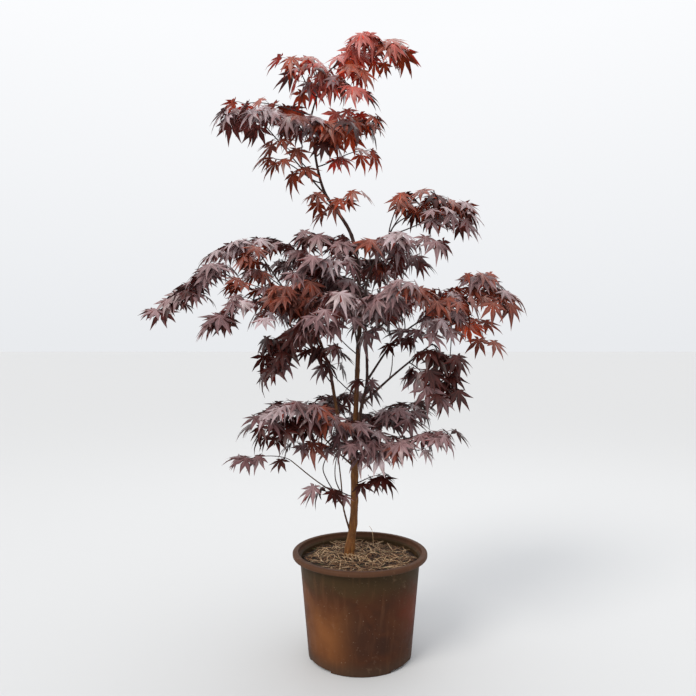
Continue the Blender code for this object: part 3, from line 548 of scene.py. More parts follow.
def stem_line(limbs, mass):
    """The line of a mass's stem: on from its bough's tip, or square off the side of its limb."""
    end = Vector(mass.end)
    start, along, _ = at_height(limbs[mass.limb], mass.height)
    way = along
    if mass.height is not TIP:
        way = end - start
        way = (way - along * way.dot(along)).normalized()
    span = (end - start).length
    first = start + way * span * STEM_GUIDES[0]
    second = start.lerp(end, STEM_GUIDES[1]) + UP * span * STEM_ARCH * 1.6
    line = []
    for t in (k / STEM_STEPS for k in range(STEM_STEPS + 1)):
        line.append(start * (1 - t)**3 + first * 3 * t * (1 - t)**2
                    + second * 3 * t * t * (1 - t) + end * t**3)
    return line


def arched(place, tip, rise):
    """A twig's line from its root to its tip, with a rise in its middle."""
    middle = place.lerp(tip, 0.5) + UP * rise
    before = place.lerp(middle, 0.55) + UP * rise * 0.25
    after = middle.lerp(tip, 0.55) + UP * rise * 0.2
    return [place, before, middle, after, tip]


def plan_twigs(stem, mass, rng):
    """The line of each side twig: to alternate sides, shorter towards the stem's end, arched over."""
    length = length_of(stem) * (1 - mass.bare)
    count = max(1, round(length / TWIG_SPACING * 2))
    hand = rng.choice((-1, 1))
    for k in range(count):
        hand = -hand
        share = (k + 0.35) / count
        place, along = along_line(stem, mass.bare + (1 - mass.bare) * share * 0.9)
        span = (mass.width / 2 - TIP_ROOM) * (TWIG_LENGTH - TWIG_LOSS * share) * rng.uniform(0.85, 1.1)
        lift = mass.thickness * TWIG_LIFTS[k % 4 // 2] * rng.uniform(0.7, 1.2)
        if span < SHORTEST_TWIG:
            continue
        side = along.cross(UP).normalized() * hand
        spread = math.radians(TWIG_ANGLES[0] + (TWIG_ANGLES[1] - TWIG_ANGLES[0]) * share)
        way = (along * math.cos(spread) + side * math.sin(spread)).normalized()
        tip = place + way * span + UP * (lift - span * TWIG_FALL)
        yield arched(place, tip, lift * 0.3 + span * 0.05)


def plan_fine_twigs(twig, thickness, rng):
    """Opposite pairs of finer twigs on a side twig, shorter towards its tip."""
    length = length_of(twig)
    pairs = int(length / FINE_SPACING)
    for k in range(pairs):
        share = (k + 0.8) / (pairs + 0.6)
        place, along = along_line(twig, share)
        side = along.cross(UP).normalized()
        for hand in (1, -1):
            span = length * (FINE_LENGTH - FINE_LOSS * share) * rng.uniform(0.75, 1.15)
            way = (along * 0.8 + side * hand).normalized()
            rise = span * rng.uniform(-0.2, 0.1) + thickness * rng.uniform(-0.5, 0.3)
            yield arched(place, place + way * span + UP * rise, span * 0.08)


def leaf_turn(outward, hang, roll):
    """The turn that lets a blade reach outward and hang: along its midrib, to its side, and up."""
    level = Vector((outward.x, outward.y, 0.0)).normalized()
    midrib = level * math.cos(hang) - UP * math.sin(hang)
    side = Matrix.Rotation(roll, 3, midrib) @ UP.cross(midrib).normalized()
    return Matrix((midrib, side, midrib.cross(side))).transposed()


def distance_to(line, point):
    return min((spot - point).length for spot in line)


class Spray:
    """The twigs, leaf stalks and leaves that grow in a mass."""

    def __init__(self, mass, limb_points, stem, rng):
        self.mass = mass
        self.limb_points = limb_points
        self.stem = stem
        self.rng = rng
        self.wood = []
        self.stalks = []
        self.leaves = []

    def tint(self, place):
        """A tint by chance for a place, from the mix above the stem or the mix below it."""
        beside = min(self.stem, key=lambda spot: (spot - place).xy.length)
        # Below the stem the mix is darker: partly painted shade.
        mix = TINT_MIX[self.mass.tint][place.z < beside.z]
        return self.rng.choices(list(mix), list(mix.values()))[0]

    def leaf(self, root, outward, tint, size=1.0):
        """One leaf on its stalk, if its blade stays in the mass's space and clear of the limbs."""
        rng = self.rng
        if rng.random() > FULLNESS:
            return
        tint = tint if rng.random() < SPRAY_TINT else self.tint(root)
        hang = math.radians(self.mass.hang) + rng.uniform(-LEAF_STRAY, LEAF_STRAY)
        outward = Matrix.Rotation(rng.uniform(-LEAF_STRAY, LEAF_STRAY), 3, "Z") @ outward
        turn = leaf_turn(outward, hang, rng.uniform(-LEAF_STRAY, LEAF_STRAY))
        size *= rng.uniform(*LEAF_SIZES)
        midrib, normal = turn.col[0], turn.col[2]
        level = Vector((outward.x, outward.y, 0.0)).normalized()
        away = (level * 0.65 + midrib * 0.20 + UP * rng.uniform(0.05, 0.40)).normalized()
        base = root + away * STALK * rng.uniform(*STALK_SIZES) * LEAF_LENGTH * size
        middle = base + midrib * LEAF_LENGTH * size * 0.45
        if distance_to(self.stem, middle) > self.mass.width / 2 + SPACE_MARGIN:
            return
        if any(distance_to(line, spot) < LEAF_CLEARANCE
               for line in self.limb_points for spot in (middle, base)):
            return
        bend = root.lerp(base, 0.6) + UP * LEAF_LENGTH * 0.05
        self.stalks.append([root, root.lerp(bend, 0.5), bend, base - normal * LEAF_THICKNESS])
        self.leaves.append(Leaf(base, turn.to_quaternion(), size, rng.randrange(LEAF_SHAPES), tint))

    def leaf_pair(self, place, along, tint, size=1.0, reach=0.55):
        side = along.cross(UP).normalized()
        for hand in (1, -1):
            self.leaf(place, (along * reach + side * hand).normalized(), tint, size)

    def leafy(self, line, first, tint):
        """Leaf pairs along a twig after its bare share, and three leaves at its end."""
        pairs = round(length_of(line) * (1 - first) / LEAF_SPACING)
        for k in range(pairs):
            place, along = along_line(line, first + (1 - first) * (k + 0.3) / pairs)
            self.leaf_pair(place, along, tint)
        end, along = along_line(line, 1.0)
        self.leaf(end, along, tint, 0.95)
        self.leaf_pair(end - along * 0.004, along, tint, 1.0, 0.75)


def grow_mass(name, mass, limbs, limb_points):
    """One mass: its stem, side twigs, finer twigs and leaves."""
    rng, fine_rng = random.Random(name), random.Random(f"{name} fine")
    stem = stem_line(limbs, mass)
    spray = Spray(mass, limb_points, stem, fine_rng)
    start = min(STEM_RADII[0], at_height(limbs[mass.limb], mass.height)[2] * 0.96)
    spray.wood.append((stem, start, STEM_RADII[1]))
    spray.leafy(stem, max(mass.bare, STEM_BARE_LEAST), spray.tint(stem[-1]))
    for twig in plan_twigs(stem, mass, rng):
        tint = spray.tint(twig[-1])
        spray.wood.append((twig, *TWIG_RADII))
        spray.leafy(twig, TWIG_BARE, tint)
        for fine in plan_fine_twigs(twig, mass.thickness, fine_rng):
            spray.wood.append((fine, *FINE_RADII))
            end, along = along_line(fine, 1.0)
            spray.leaf_pair(end, along, tint, 0.90, 1.1)
            spray.leaf_pair(*along_line(fine, 0.55), tint, 0.80, 0.7)
    return spray


# Meshes.


def mesh_of(name, shape):
    """A bmesh as a new mesh."""
    mesh = bpy.data.meshes.new(name)
    shape.to_mesh(mesh)
    shape.free()
    return mesh


def smoothed(mesh, sharp_from):
    """Shades a mesh smooth, but for edges sharper than this many degrees."""
    mesh.shade_smooth()
    mesh.set_sharp_from_angle(angle=math.radians(sharp_from))
    return mesh


def wood_tree():
    """Sweeps a round section along each chain of edges, with ridges of bark that follow the girth."""
    tree, given, result = node_tree("grown_wood", {
        "Sides": "Int", "Ring step": "Float", "Relief": "Float", "Grain size": "Float", "Bark": "Material"})
    girth = add(tree, "GeometryNodeInputNamedAttribute", {"Name": "girth"}, data_type="FLOAT")
    curve = add(tree, "GeometryNodeMeshToCurve", {"Mesh": given["Geometry"]})
    curve = add(tree, "GeometryNodeSetCurveRadius", {"Curve": curve, "Radius": girth})
    curve = add(tree, "GeometryNodeCurveSplineType", {"Curve": curve}, spline_type="CATMULL_ROM")
    step = given["Ring step"]
    curve = add(tree, "GeometryNodeResampleCurve", {"Curve": curve, "Length": step}, mode="LENGTH")
    section = add(tree, "GeometryNodeCurvePrimitiveCircle", {"Resolution": given["Sides"], "Radius": 1.0})
    radius = add(tree, "GeometryNodeInputRadius")
    mesh = add(tree, "GeometryNodeCurveToMesh", {
        "Curve": curve, "Profile Curve": section, "Scale": radius, "Fill Caps": True})
    place = add(tree, "GeometryNodeInputPosition")
    drawn = add(tree, "ShaderNodeVectorMath", {0: place, 1: RIDGE_STRETCH}, operation="MULTIPLY")
    scale = add(tree, "ShaderNodeMath", {0: 1.0, 1: given["Grain size"]}, operation="DIVIDE")
    noise = add(tree, "ShaderNodeTexNoise", {
        "Vector": drawn, "Scale": scale, "Detail": 3.0, "Roughness": 0.6})
    height = add(tree, "ShaderNodeMath", {0: noise, 1: 0.5}, operation="SUBTRACT")
    for factor in (given["Relief"], girth):
        height = add(tree, "ShaderNodeMath", {0: height, 1: factor}, operation="MULTIPLY")
    normal = add(tree, "GeometryNodeInputNormal")
    shift = add(tree, "ShaderNodeVectorMath", {0: normal, "Scale": height}, operation="SCALE")
    mesh = add(tree, "GeometryNodeSetPosition", {"Geometry": mesh, "Offset": shift})
    mesh = add(tree, "GeometryNodeSetShadeSmooth", {"Geometry": mesh})
    mesh = add(tree, "GeometryNodeRealizeInstances", {"Geometry": mesh})
    mesh = add(tree, "GeometryNodeSetMaterial", {"Geometry": mesh, "Material": given["Bark"]})
    tree.links.new(mesh, result["Geometry"])
    return tree


def chains(name, lines):
    """A guide of one chain of edges for each line, given as its points and their radii."""
    points, edges, girth = [], [], []
    for line, radii in lines:
        start = len(points)
        points += line
        girth += radii
        edges += [(k, k + 1) for k in range(start, len(points) - 1)]
    return guide_mesh(name, points, edges, girth=("FLOAT", girth))


def tapered(line, thick, thin):
    last = len(line) - 1
    return line, [thick + (thin - thick) * k / last for k in range(last + 1)]


def leaf_blade(name, droop, curl, spread, rng):
    """A palmate blade as a thin closed lens: lobes with long tips, each folded along its midrib.

    Its length is 1 and the top of its stalk is at the origin. Faces of its lower side are marked, and so
    are the points along its midribs.
    """
    lobes = [(-bearing, reach) for bearing, reach in LOBES[:0:-1]] + list(LOBES)
    ribs = [(math.radians(bearing * spread + rng.uniform(-4, 4)), reach * rng.uniform(0.92, 1.06))
            for bearing, reach in lobes]
    gaps = [(-bearing, reach) for bearing, reach in SINUSES[::-1]] + list(SINUSES)
    half = LEAF_THICKNESS / LEAF_LENGTH / 2
    shape = bmesh.new()
    low = shape.faces.layers.bool.new("underside")
    on_rib = shape.verts.layers.float.new("rib")

    def corner(radius, turn, across=0.0, fall=0.0):
        x = radius * math.cos(turn) - across * math.sin(turn)
        y = radius * math.sin(turn) + across * math.cos(turn)
        away = math.hypot(x, y)
        return shape.verts.new((x, y, -droop * away**2 - curl * away**4 - LOBE_FOLD * fall))

    def face(points, under):
        shape.faces.new(points[::-1] if under else points)[low] = under

    hubs = [shape.verts.new((0.0, 0.0, side * half)) for side in (1, -1)]
    notches = [corner(BASE_REACH, -BASE_BEARING)]
    notches += [corner(reach, math.radians(bearing * spread), 0.0, 0.1) for bearing, reach in gaps]
    notches.append(corner(BASE_REACH, BASE_BEARING))
    for k, (turn, reach) in enumerate(ribs):
        sections = LOBE_SECTIONS if reach > SMALL_LOBE else LOBE_SECTIONS[:1]
        tip = corner(reach, turn, rng.uniform(-0.03, 0.03), -0.07)
        tip[on_rib] = 1.0
        edges = {hand: [corner(reach * share, turn, width * reach**0.6 * hand, width * reach**0.6)
                        for share, width in sections] for hand in (-1, 1)}
        for hub, under in zip(hubs, (False, True)):
            rib = corner(reach * RIB_BEND, turn)
            rib.co.z += -half if under else half
            rib[on_rib] = hub[on_rib] = 1.0
            for hand, notch in ((-1, notches[k]), (1, notches[k + 1])):
                for points in ([hub, notch, edges[hand][0], rib], [rib, *edges[hand], tip]):
                    face(points if hand == -1 else points[::-1], under)
    face([hubs[0], hubs[1], notches[0]], False)
    face([hubs[1], hubs[0], notches[-1]], False)
    return smoothed(mesh_of(name, shape), 50)


def leaves_tree():
    """Sets a blade on each point by its turn, size and kind, with its two sides' finishes."""
    tree, given, result = node_tree("set_leaves", {
        "Blades": "Collection", "Leaf length": "Float", "Size spread": "Float", "Seed": "Int",
        "Upper side": "Material", "Underside": "Material"})
    read = {label: add(tree, "GeometryNodeInputNamedAttribute", {"Name": label}, data_type=kind)
            for label, kind in (("turn", "QUATERNION"), ("size", "FLOAT"), ("kind", "INT"),
                                ("underside", "BOOLEAN"))}
    blades = add(tree, "GeometryNodeCollectionInfo", {
        "Collection": given["Blades"], "Separate Children": True, "Reset Children": True})
    least = add(tree, "ShaderNodeMath", {0: 1.0, 1: given["Size spread"]}, operation="SUBTRACT")
    chance = add(tree, "FunctionNodeRandomValue", {
        "Min": least, "Max": 1.0, "Seed": given["Seed"]}, data_type="FLOAT")
    size = read["size"]
    for factor in (given["Leaf length"], chance):
        size = add(tree, "ShaderNodeMath", {0: size, 1: factor}, operation="MULTIPLY")
    points = add(tree, "GeometryNodeMeshToPoints", {"Mesh": given["Geometry"]})
    mesh = add(tree, "GeometryNodeInstanceOnPoints", {
        "Points": points, "Instance": blades, "Pick Instance": True, "Instance Index": read["kind"],
        "Rotation": read["turn"], "Scale": size})
    mesh = add(tree, "GeometryNodeRealizeInstances", {"Geometry": mesh})
    mesh = add(tree, "GeometryNodeSetMaterial", {"Geometry": mesh, "Material": given["Upper side"]})
    mesh = add(tree, "GeometryNodeSetMaterial", {
        "Geometry": mesh, "Selection": read["underside"], "Material": given["Underside"]})
    tree.links.new(mesh, result["Geometry"])
    return tree


def turned(name, profile, steps):
    """A closed shell turned from a profile that starts and ends on the axis."""
    mesh = bpy.data.meshes.new(name)
    mesh.from_pydata([(radius, 0.0, height) for radius, height in profile], [
        (k, k + 1) for k in range(len(profile) - 1)], [])
    obj = new_piece(name, mesh)
    screw = obj.modifiers.new("turn", "SCREW")
    screw.steps = screw.render_steps = steps
    screw.use_merge_vertices = True
    screw.merge_threshold = 0.00005
    return applied(obj)


def applied(obj):
    """Keeps an object's evaluated mesh in place of its modifiers, welded and turned outwards."""
    graph = bpy.context.evaluated_depsgraph_get()
    mesh = bpy.data.meshes.new_from_object(obj.evaluated_get(graph))
    shape = bmesh.new()
    shape.from_mesh(mesh)
    bmesh.ops.remove_doubles(shape, verts=shape.verts, dist=0.00002)
    bmesh.ops.recalc_face_normals(shape, faces=shape.faces)
    shape.to_mesh(mesh)
    shape.free()
    obj.modifiers.clear()
    obj.data = mesh
    return obj


def arc(middle_radius, middle_height, reach, first, last, steps):
    """Points of a profile's rounded corner, by degrees from straight out."""
    turns = (math.radians(first + (last - first) * k / steps) for k in range(steps + 1))
    return [(middle_radius + reach * math.cos(t), middle_height + reach * math.sin(t)) for t in turns]


def wall_radius(height):
    """Outer radius of the pot's wall at a height."""
    share = (height - FOOT_ROUND) / (POT_HEIGHT - RIM_DEPTH - FOOT_ROUND)
    return WALL_FOOT_RADIUS + (WALL_TOP_RADIUS - WALL_FOOT_RADIUS) * share


def make_pot():
    """The pot's shell, turned from the middle of its floor inside round to the middle of its underside."""
    low = POT_HEIGHT - RIM_DEPTH
    inside = [(0.0, FLOOR), (0.06, FLOOR), (0.11, FLOOR)]
    inside += arc(wall_radius(FLOOR) - WALL - 0.006, FLOOR + 0.006, 0.006, -90, 0, 4)
    inside += [(wall_radius(z) - WALL, z) for z in (0.04, 0.09, 0.14, 0.19, 0.225, low - 0.002)]
    inner = RIM_INNER_RADIUS
    lip = [(inner - 0.0012, low + 0.003), (inner, POT_HEIGHT - 0.0040)]
    lip += arc(inner + 0.0022, POT_HEIGHT - 0.0022, 0.0022, 180, 90, 4)
    crest = arc(RIM_RADIUS - RIM_ROUND, POT_HEIGHT - RIM_ROUND, RIM_ROUND, 90, 0, 7)
    skirt = arc(RIM_RADIUS - 0.0035, low + 0.0035, 0.0032, -10, -100, 5)
    under = [(RIM_RADIUS - 0.0060, low + 0.0016), (wall_radius(low) + 0.004, low + 0.0022)]
    under += [(wall_radius(low) + 0.0008, low - 0.0002), (wall_radius(low - 0.002), low - 0.002)]
    outside = [(wall_radius(z), z) for z in (0.245, 0.225, 0.19, 0.15, 0.11, 0.07, 0.04, 0.02, 0.010)]
    foot = arc(WALL_FOOT_RADIUS - FOOT_ROUND, FOOT_ROUND, FOOT_ROUND, 0, -90, 4)
    base = [(0.11, 0.0), (0.06, 0.0), (0.0, 0.0)]
    pot = turned("pot_shell", inside + lip + crest + skirt + under + outside + foot + base, POT_STEPS)
    for bearing in NOTCH_BEARINGS:
        shape = bmesh.new()
        bmesh.ops.create_cube(shape, size=1.0)
        place = Matrix.Translation((NOTCH_INNER + NOTCH_DEPTH / 2, 0.0, 0.0))
        size = Matrix.Diagonal((NOTCH_DEPTH, NOTCH_WIDTH, 2 * NOTCH_HEIGHT, 1.0))
        shape.transform(Matrix.Rotation(math.radians(bearing - 90), 4, "Z") @ place @ size)
        cutter = new_piece("notch", mesh_of("notch", shape))
        step = pot.modifiers.new("notch", "BOOLEAN")
        step.operation = "DIFFERENCE"
        step.object = cutter
        applied(pot)
        bpy.data.objects.remove(cutter)
    smoothed(pot.data, 40)
    pot.data.materials.append(nursery_plastic())
    kept(pot, "pot", ["pot"])


def mound_height(x, y):
    """Height of the mulch at a place: a low mound that falls to the wall."""
    crest = MULCH_TOP - 0.001
    return crest - (crest - MULCH_EDGE_TOP) * (math.hypot(x, y) / MULCH_EDGE) ** 2.2


def make_mulch_bed():
    """The soft ground under the shreds: a turned disc with lumps."""
    rings = [0.0, *(MULCH_EDGE * (k / BED_RINGS) for k in range(1, BED_RINGS + 1))]
    profile = [(radius, mound_height(radius, 0.0) - 0.001) for radius in rings]
    profile += [(MULCH_EDGE, BED_UNDERSIDE), (0.0, BED_UNDERSIDE)]
    bed = turned("mulch_bed", profile, BED_STEPS)
    lumps = bed.modifiers.new("lumps", "DISPLACE")
    lumps.texture = bpy.data.textures.new("lumps", "CLOUDS")
    lumps.texture.noise_scale = 0.012
    lumps.texture_coords = "GLOBAL"
    lumps.direction = "Z"
    lumps.strength = 0.004
    lumps.mid_level = 0.65
    applied(bed)
    bed.data.shade_smooth()
    return bed


def shred_shape(name, bend, twist, width, rng):
    """One sliver of straw or bark, 1 long, as a bent three-sided strip with tapered ends."""
    shape = bmesh.new()
    rings = []
    for share in (k / SHRED_STEPS for k in range(SHRED_STEPS + 1)):
        y = bend * math.sin(share * math.pi) + rng.uniform(-0.02, 0.02)
        z = twist * math.sin(share * math.pi * 1.6) + rng.uniform(-0.01, 0.01)
        wide = width * (0.35 + 0.65 * math.sin(math.pi * share * 0.9 + 0.15))
        rings.append([shape.verts.new((share - 0.5, y + wide * a, z + wide * b))
                      for a, b in ((-1.0, 0.0), (1.0, -0.1), (0.1, 0.55))])
    for one, two in zip(rings, rings[1:]):
        for k in range(3):
            shape.faces.new((one[k], one[(k + 1) % 3], two[(k + 1) % 3], two[k]))
    shape.faces.new(rings[0][::-1])
    shape.faces.new(rings[-1])
    bmesh.ops.recalc_face_normals(shape, faces=shape.faces)
    return mesh_of(name, shape)


def shreds_tree():
    """Strews slivers over a surface, lying at all bearings, some tipped up."""
    tree, given, result = node_tree("strewn_shreds", {
        "Shreds": "Collection", "Density": "Float", "Shred length": "Float", "Length spread": "Float",
        "Tip up": "Float", "Lift": "Float", "Seed": "Int", "Finish": "Material"})
    length, spread = given["Shred length"], given["Length spread"]
    tip, seed = given["Tip up"], given["Seed"]
    points = add(tree, "GeometryNodeDistributePointsOnFaces", {
        "Mesh": given["Geometry"], "Density": given["Density"], "Seed": seed})
    other_seed = add(tree, "ShaderNodeMath", {0: seed, 1: 7.0}, operation="ADD")
    down = add(tree, "ShaderNodeMath", {0: tip, 1: -1.0}, operation="MULTIPLY")
    low = add(tree, "ShaderNodeCombineXYZ", {"X": down, "Y": down, "Z": 0.0})
    high = add(tree, "ShaderNodeCombineXYZ", {"X": tip, "Y": tip, "Z": math.tau})
    turn = add(tree, "FunctionNodeRandomValue", {
        "Min": low, "Max": high, "Seed": seed}, data_type="FLOAT_VECTOR")
    least = add(tree, "ShaderNodeMath", {0: length, 1: spread}, operation="SUBTRACT")
    most = add(tree, "ShaderNodeMath", {0: length, 1: spread}, operation="ADD")
    size = add(tree, "FunctionNodeRandomValue", {
        "Min": least, "Max": most, "Seed": other_seed}, data_type="FLOAT")
    raised = add(tree, "ShaderNodeCombineXYZ", {"Z": given["Lift"]})
    level = add(tree, "FunctionNodeRandomValue", {
        "Min": (0.0, 0.0, 0.0), "Max": raised, "Seed": other_seed}, data_type="FLOAT_VECTOR")
    points = add(tree, "GeometryNodeSetPosition", {"Geometry": points, "Offset": level})
    shapes = add(tree, "GeometryNodeCollectionInfo", {
        "Collection": given["Shreds"], "Separate Children": True, "Reset Children": True})
    mesh = add(tree, "GeometryNodeInstanceOnPoints", {
        "Points": points, "Instance": shapes, "Pick Instance": True, "Rotation": turn, "Scale": size})
    mesh = add(tree, "GeometryNodeRealizeInstances", {"Geometry": mesh})
    mesh = add(tree, "GeometryNodeSetMaterial", {"Geometry": mesh, "Material": given["Finish"]})
    tree.links.new(mesh, result["Geometry"])
    return tree


def shape_collection(name, meshes):
    group = bpy.data.collections.new(name)
    bpy.context.scene.collection.children.link(group)
    for mesh in meshes:
        group.objects.link(bpy.data.objects.new(mesh.name, mesh))
    return group


def drop_collection(group):
    for obj in list(group.objects):
        bpy.data.objects.remove(obj)
    bpy.data.collections.remove(group)


# Finishes.


def finish_of(name):
    """A new material with its tree, its shader and its Object coordinates."""
    material = bpy.data.materials.new(name)
    material.use_nodes = True
    tree = material.node_tree
    return material, tree, tree.nodes["Principled BSDF"], add(tree, "ShaderNodeTexCoord", out="Object")


def per_metre(millimetres):
    """A noise's scale for features about this big."""
    return 1000.0 / millimetres


def maple_bark(name, foot, top, streak, heights, relief):
    """Young maple bark, grown thin and tight: a dull satin skin with a fine upright grain.

    It is tan with pale streaks at the foot and plum-brown above the given heights, with pale lenticels.
    """
    material, tree, shader, place = finish_of(name)
    drawn = add(tree, "ShaderNodeMapping", {"Vector": place, "Scale": (1.0, 1.0, 0.16)})
    grain = add(tree, "ShaderNodeTexNoise", {
        "Vector": drawn, "Scale": per_metre(BARK_GRAIN), "Detail": 5.0, "Roughness": 0.62})
    height = add(tree, "ShaderNodeSeparateXYZ", {"Vector": place}, out="Z")
    blotch = add(tree, "ShaderNodeTexNoise", {"Vector": place, "Scale": per_metre(BARK_BLOTCH)})
    shifted = add(tree, "ShaderNodeMath", {0: blotch, 1: 0.16, 2: height}, operation="MULTIPLY_ADD")
    upper = add(tree, "ShaderNodeMapRange", {
        "Value": shifted, "From Min": heights[0], "From Max": heights[1]})
    tan = add(tree, "ShaderNodeValToRGB", {"Fac": grain}, stops=[
        (0.30, foot[0]), (0.52, foot[1]), (0.72, streak)])
    plum = add(tree, "ShaderNodeValToRGB", {"Fac": grain}, stops=[(0.34, top[0]), (0.66, top[1])])
    colour = add(tree, "ShaderNodeMix", {"Factor": upper, "A": tan, "B": plum}, data_type="RGBA")
    flat = add(tree, "ShaderNodeMapping", {"Vector": place, "Scale": (1.0, 1.0, 2.2)})
    cells = add(tree, "ShaderNodeTexVoronoi", {"Vector": flat, "Scale": per_metre(LENTICEL)})
    dots = add(tree, "ShaderNodeValToRGB", {"Fac": cells}, stops=[(0.10, "#ffffff"), (0.17, "#000000")])
    pale = add(tree, "ShaderNodeMath", {0: dots, 1: 0.42}, operation="MULTIPLY")
    colour = add(tree, "ShaderNodeMix", {"Factor": pale, "A": colour, "B": "#b49a72"}, data_type="RGBA")
    rough = add(tree, "ShaderNodeMapRange", {"Value": grain, "To Min": 0.50, "To Max": 0.78})
    bump = add(tree, "ShaderNodeBump", {"Strength": 0.6, "Distance": relief, "Height": grain})
    fill(tree, shader, {
        "Base Color": colour, "Roughness": rough, "Normal": bump, "Specular IOR Level": 0.25})
    return material


def leaf_side(name, colour, near, vein, roughness, sheen):
    """One side of a maple leaf, a thin waxy skin: a low sheen over a colour that strays along each spray.

    Its midribs are paler and fine veins stand in relief. A real midrib is under 1 mm wide. Here it is about
    3 mm, so that it shows.
    """
    material, tree, shader, place = finish_of(name)
    stray = add(tree, "ShaderNodeTexNoise", {
        "Vector": place, "Scale": per_metre(LEAF_CLOUD), "Detail": 2.0})
    mixed = add(tree, "ShaderNodeValToRGB", {"Fac": stray}, stops=[(0.36, colour), (0.66, near)])
    rib = add(tree, "ShaderNodeAttribute", out="Fac", attribute_name="rib")
    line = add(tree, "ShaderNodeMapRange", {
        "Value": rib, "From Min": 0.76, "From Max": 1.0, "To Max": 0.75})
    ribbed = add(tree, "ShaderNodeMix", {"Factor": line, "A": mixed, "B": vein}, data_type="RGBA")
    veins = add(tree, "ShaderNodeTexNoise", {"Vector": place, "Scale": per_metre(LEAF_VEIN), "Detail": 3.0})
    bump = add(tree, "ShaderNodeBump", {"Strength": 0.35, "Distance": 0.0004, "Height": veins})
    fill(tree, shader, {
        "Base Color": ribbed, "Normal": bump, "Roughness": roughness, "IOR": 1.45,
        "Specular IOR Level": sheen})
    return material


def nursery_plastic():
    """Moulded recycled polyethylene, thick and dull: a soft sheen over mottled brown with wear and dust.

    It also has a painted glow of reflected light low on the left and painted shade under the rim.
    """
    material, tree, shader, place = finish_of("mottled_brown_polyethylene")
    level = add(tree, "ShaderNodeSeparateXYZ", {"Vector": place}, out="Z")
    cloud = add(tree, "ShaderNodeTexNoise", {
        "Vector": place, "Scale": per_metre(POT_CLOUD), "Detail": 4.0, "Distortion": 0.6})
    colour = add(tree, "ShaderNodeValToRGB", {"Fac": cloud}, stops=[
        (0.34, "#3a2418"), (0.50, "#442718"), (0.68, "#4d2c1a")])
    raised = add(tree, "ShaderNodeMath", {0: cloud, 1: 0.09, 2: level}, operation="MULTIPLY_ADD")
    drawn = add(tree, "ShaderNodeMapping", {"Vector": place, "Scale": (1.0, 1.0, 0.12)})
    streaks = add(tree, "ShaderNodeTexNoise", {
        "Vector": drawn, "Scale": per_metre(POT_STREAK), "Detail": 4.0})
    scuffs = add(tree, "ShaderNodeTexNoise", {
        "Vector": place, "Scale": per_metre(POT_SCUFF), "Detail": 5.0, "Roughness": 0.7})
    specks = add(tree, "ShaderNodeTexNoise", {
        "Vector": place, "Scale": per_metre(POT_SPECK), "Detail": 1.0})
    # Each layer: its pattern, the values where it starts and ends, its strength there, its ease and colour.
    layers = []
    # Two of the patches, orange, low at the left front and on the left, are a painted glow of reflected
    # light.
    for centre, reach, code in POT_PATCHES_AND_PAINTED_GLOW:
        away = add(tree, "ShaderNodeVectorMath", {0: place, 1: centre}, operation="DISTANCE")
        uneven = add(tree, "ShaderNodeMath", {0: cloud, 1: 0.12, 2: away}, operation="MULTIPLY_ADD")
        layers.append((uneven, 0.05, reach + 0.05, 0.9, 0.0, "SMOOTHSTEP", code))
    rim_foot = POT_HEIGHT - RIM_DEPTH
    layers += [
        # Darker olive at the top of the wall: partly the plastic's own tone, partly painted shade under the
        # rim.
        (raised, 0.215, 0.285, 0.0, 0.85, "SMOOTHSTEP", "#3a2e1c"),
        (level, 0.004, 0.046, 0.6, 0.0, "SMOOTHSTEP", "#40352b"),
        (level, rim_foot, rim_foot + 0.003, 0.0, 1.0, "LINEAR", "#4f3526"),
        (streaks, 0.54, 0.84, 0.0, 0.26, "LINEAR", "#7a5238"),
        (scuffs, 0.60, 0.80, 0.0, 0.35, "LINEAR", "#86705c"),
        (specks, 0.750, 0.785, 0.0, 0.6, "LINEAR", "#a08a74"),
    ]
    for pattern, first, last, start, end, ease, code in layers:
        mask = add(tree, "ShaderNodeMapRange", {
            "Value": pattern, "From Min": first, "From Max": last, "To Min": start, "To Max": end},
            interpolation_type=ease)
        colour = add(tree, "ShaderNodeMix", {"Factor": mask, "A": colour, "B": code}, data_type="RGBA")
    rough = add(tree, "ShaderNodeMapRange", {
        "Value": scuffs, "From Min": 0.3, "From Max": 0.7, "To Min": 0.44, "To Max": 0.66})
    skin = add(tree, "ShaderNodeTexNoise", {"Vector": place, "Scale": per_metre(POT_SKIN), "Detail": 3.0})
    bump = add(tree, "ShaderNodeBump", {"Strength": 0.25, "Distance": 0.0003, "Height": skin})
    fill(tree, shader, {
        "Base Color": colour, "Roughness": rough, "Normal": bump, "IOR": 1.5, "Specular IOR Level": 0.08})
    return material


def dry_fibre(name, dark, middle, light):
    """Dry straw and shredded bark, torn and raw: dull, streaked light and dark, with no gloss."""
    material, tree, shader, place = finish_of(name)
    fibre = add(tree, "ShaderNodeTexNoise", {"Vector": place, "Scale": per_metre(FIBRE), "Detail": 3.0})
    colour = add(tree, "ShaderNodeValToRGB", {"Fac": fibre}, stops=[
        (0.32, dark), (0.50, middle), (0.68, light)])
    bump = add(tree, "ShaderNodeBump", {"Strength": 0.5, "Distance": 0.0006, "Height": fibre})
    fill(tree, shader, {"Base Color": colour, "Normal": bump, "Roughness": 0.9})
    return material


def stalk_skin():
    """The smooth waxy skin of leaf stalks: satin, dark red that deepens to maroon here and there."""
    material, tree, shader, place = finish_of("red_leaf_stalk")
    stray = add(tree, "ShaderNodeTexNoise", {
        "Vector": place, "Scale": per_metre(STALK_CLOUD), "Detail": 2.0})
    colour = add(tree, "ShaderNodeValToRGB", {"Fac": stray}, stops=[(0.36, "#642829"), (0.66, "#521f22")])
    fill(tree, shader, {"Base Color": colour, "Roughness": 0.45})
    return material


def painted_floor():
    """A pale matt painted floor: even, soft grey, with no gloss."""
    material, tree, shader, _ = finish_of("pale_studio_floor")
    fill(tree, shader, {"Base Color": "#c9cacb", "Roughness": 0.9})
    return material
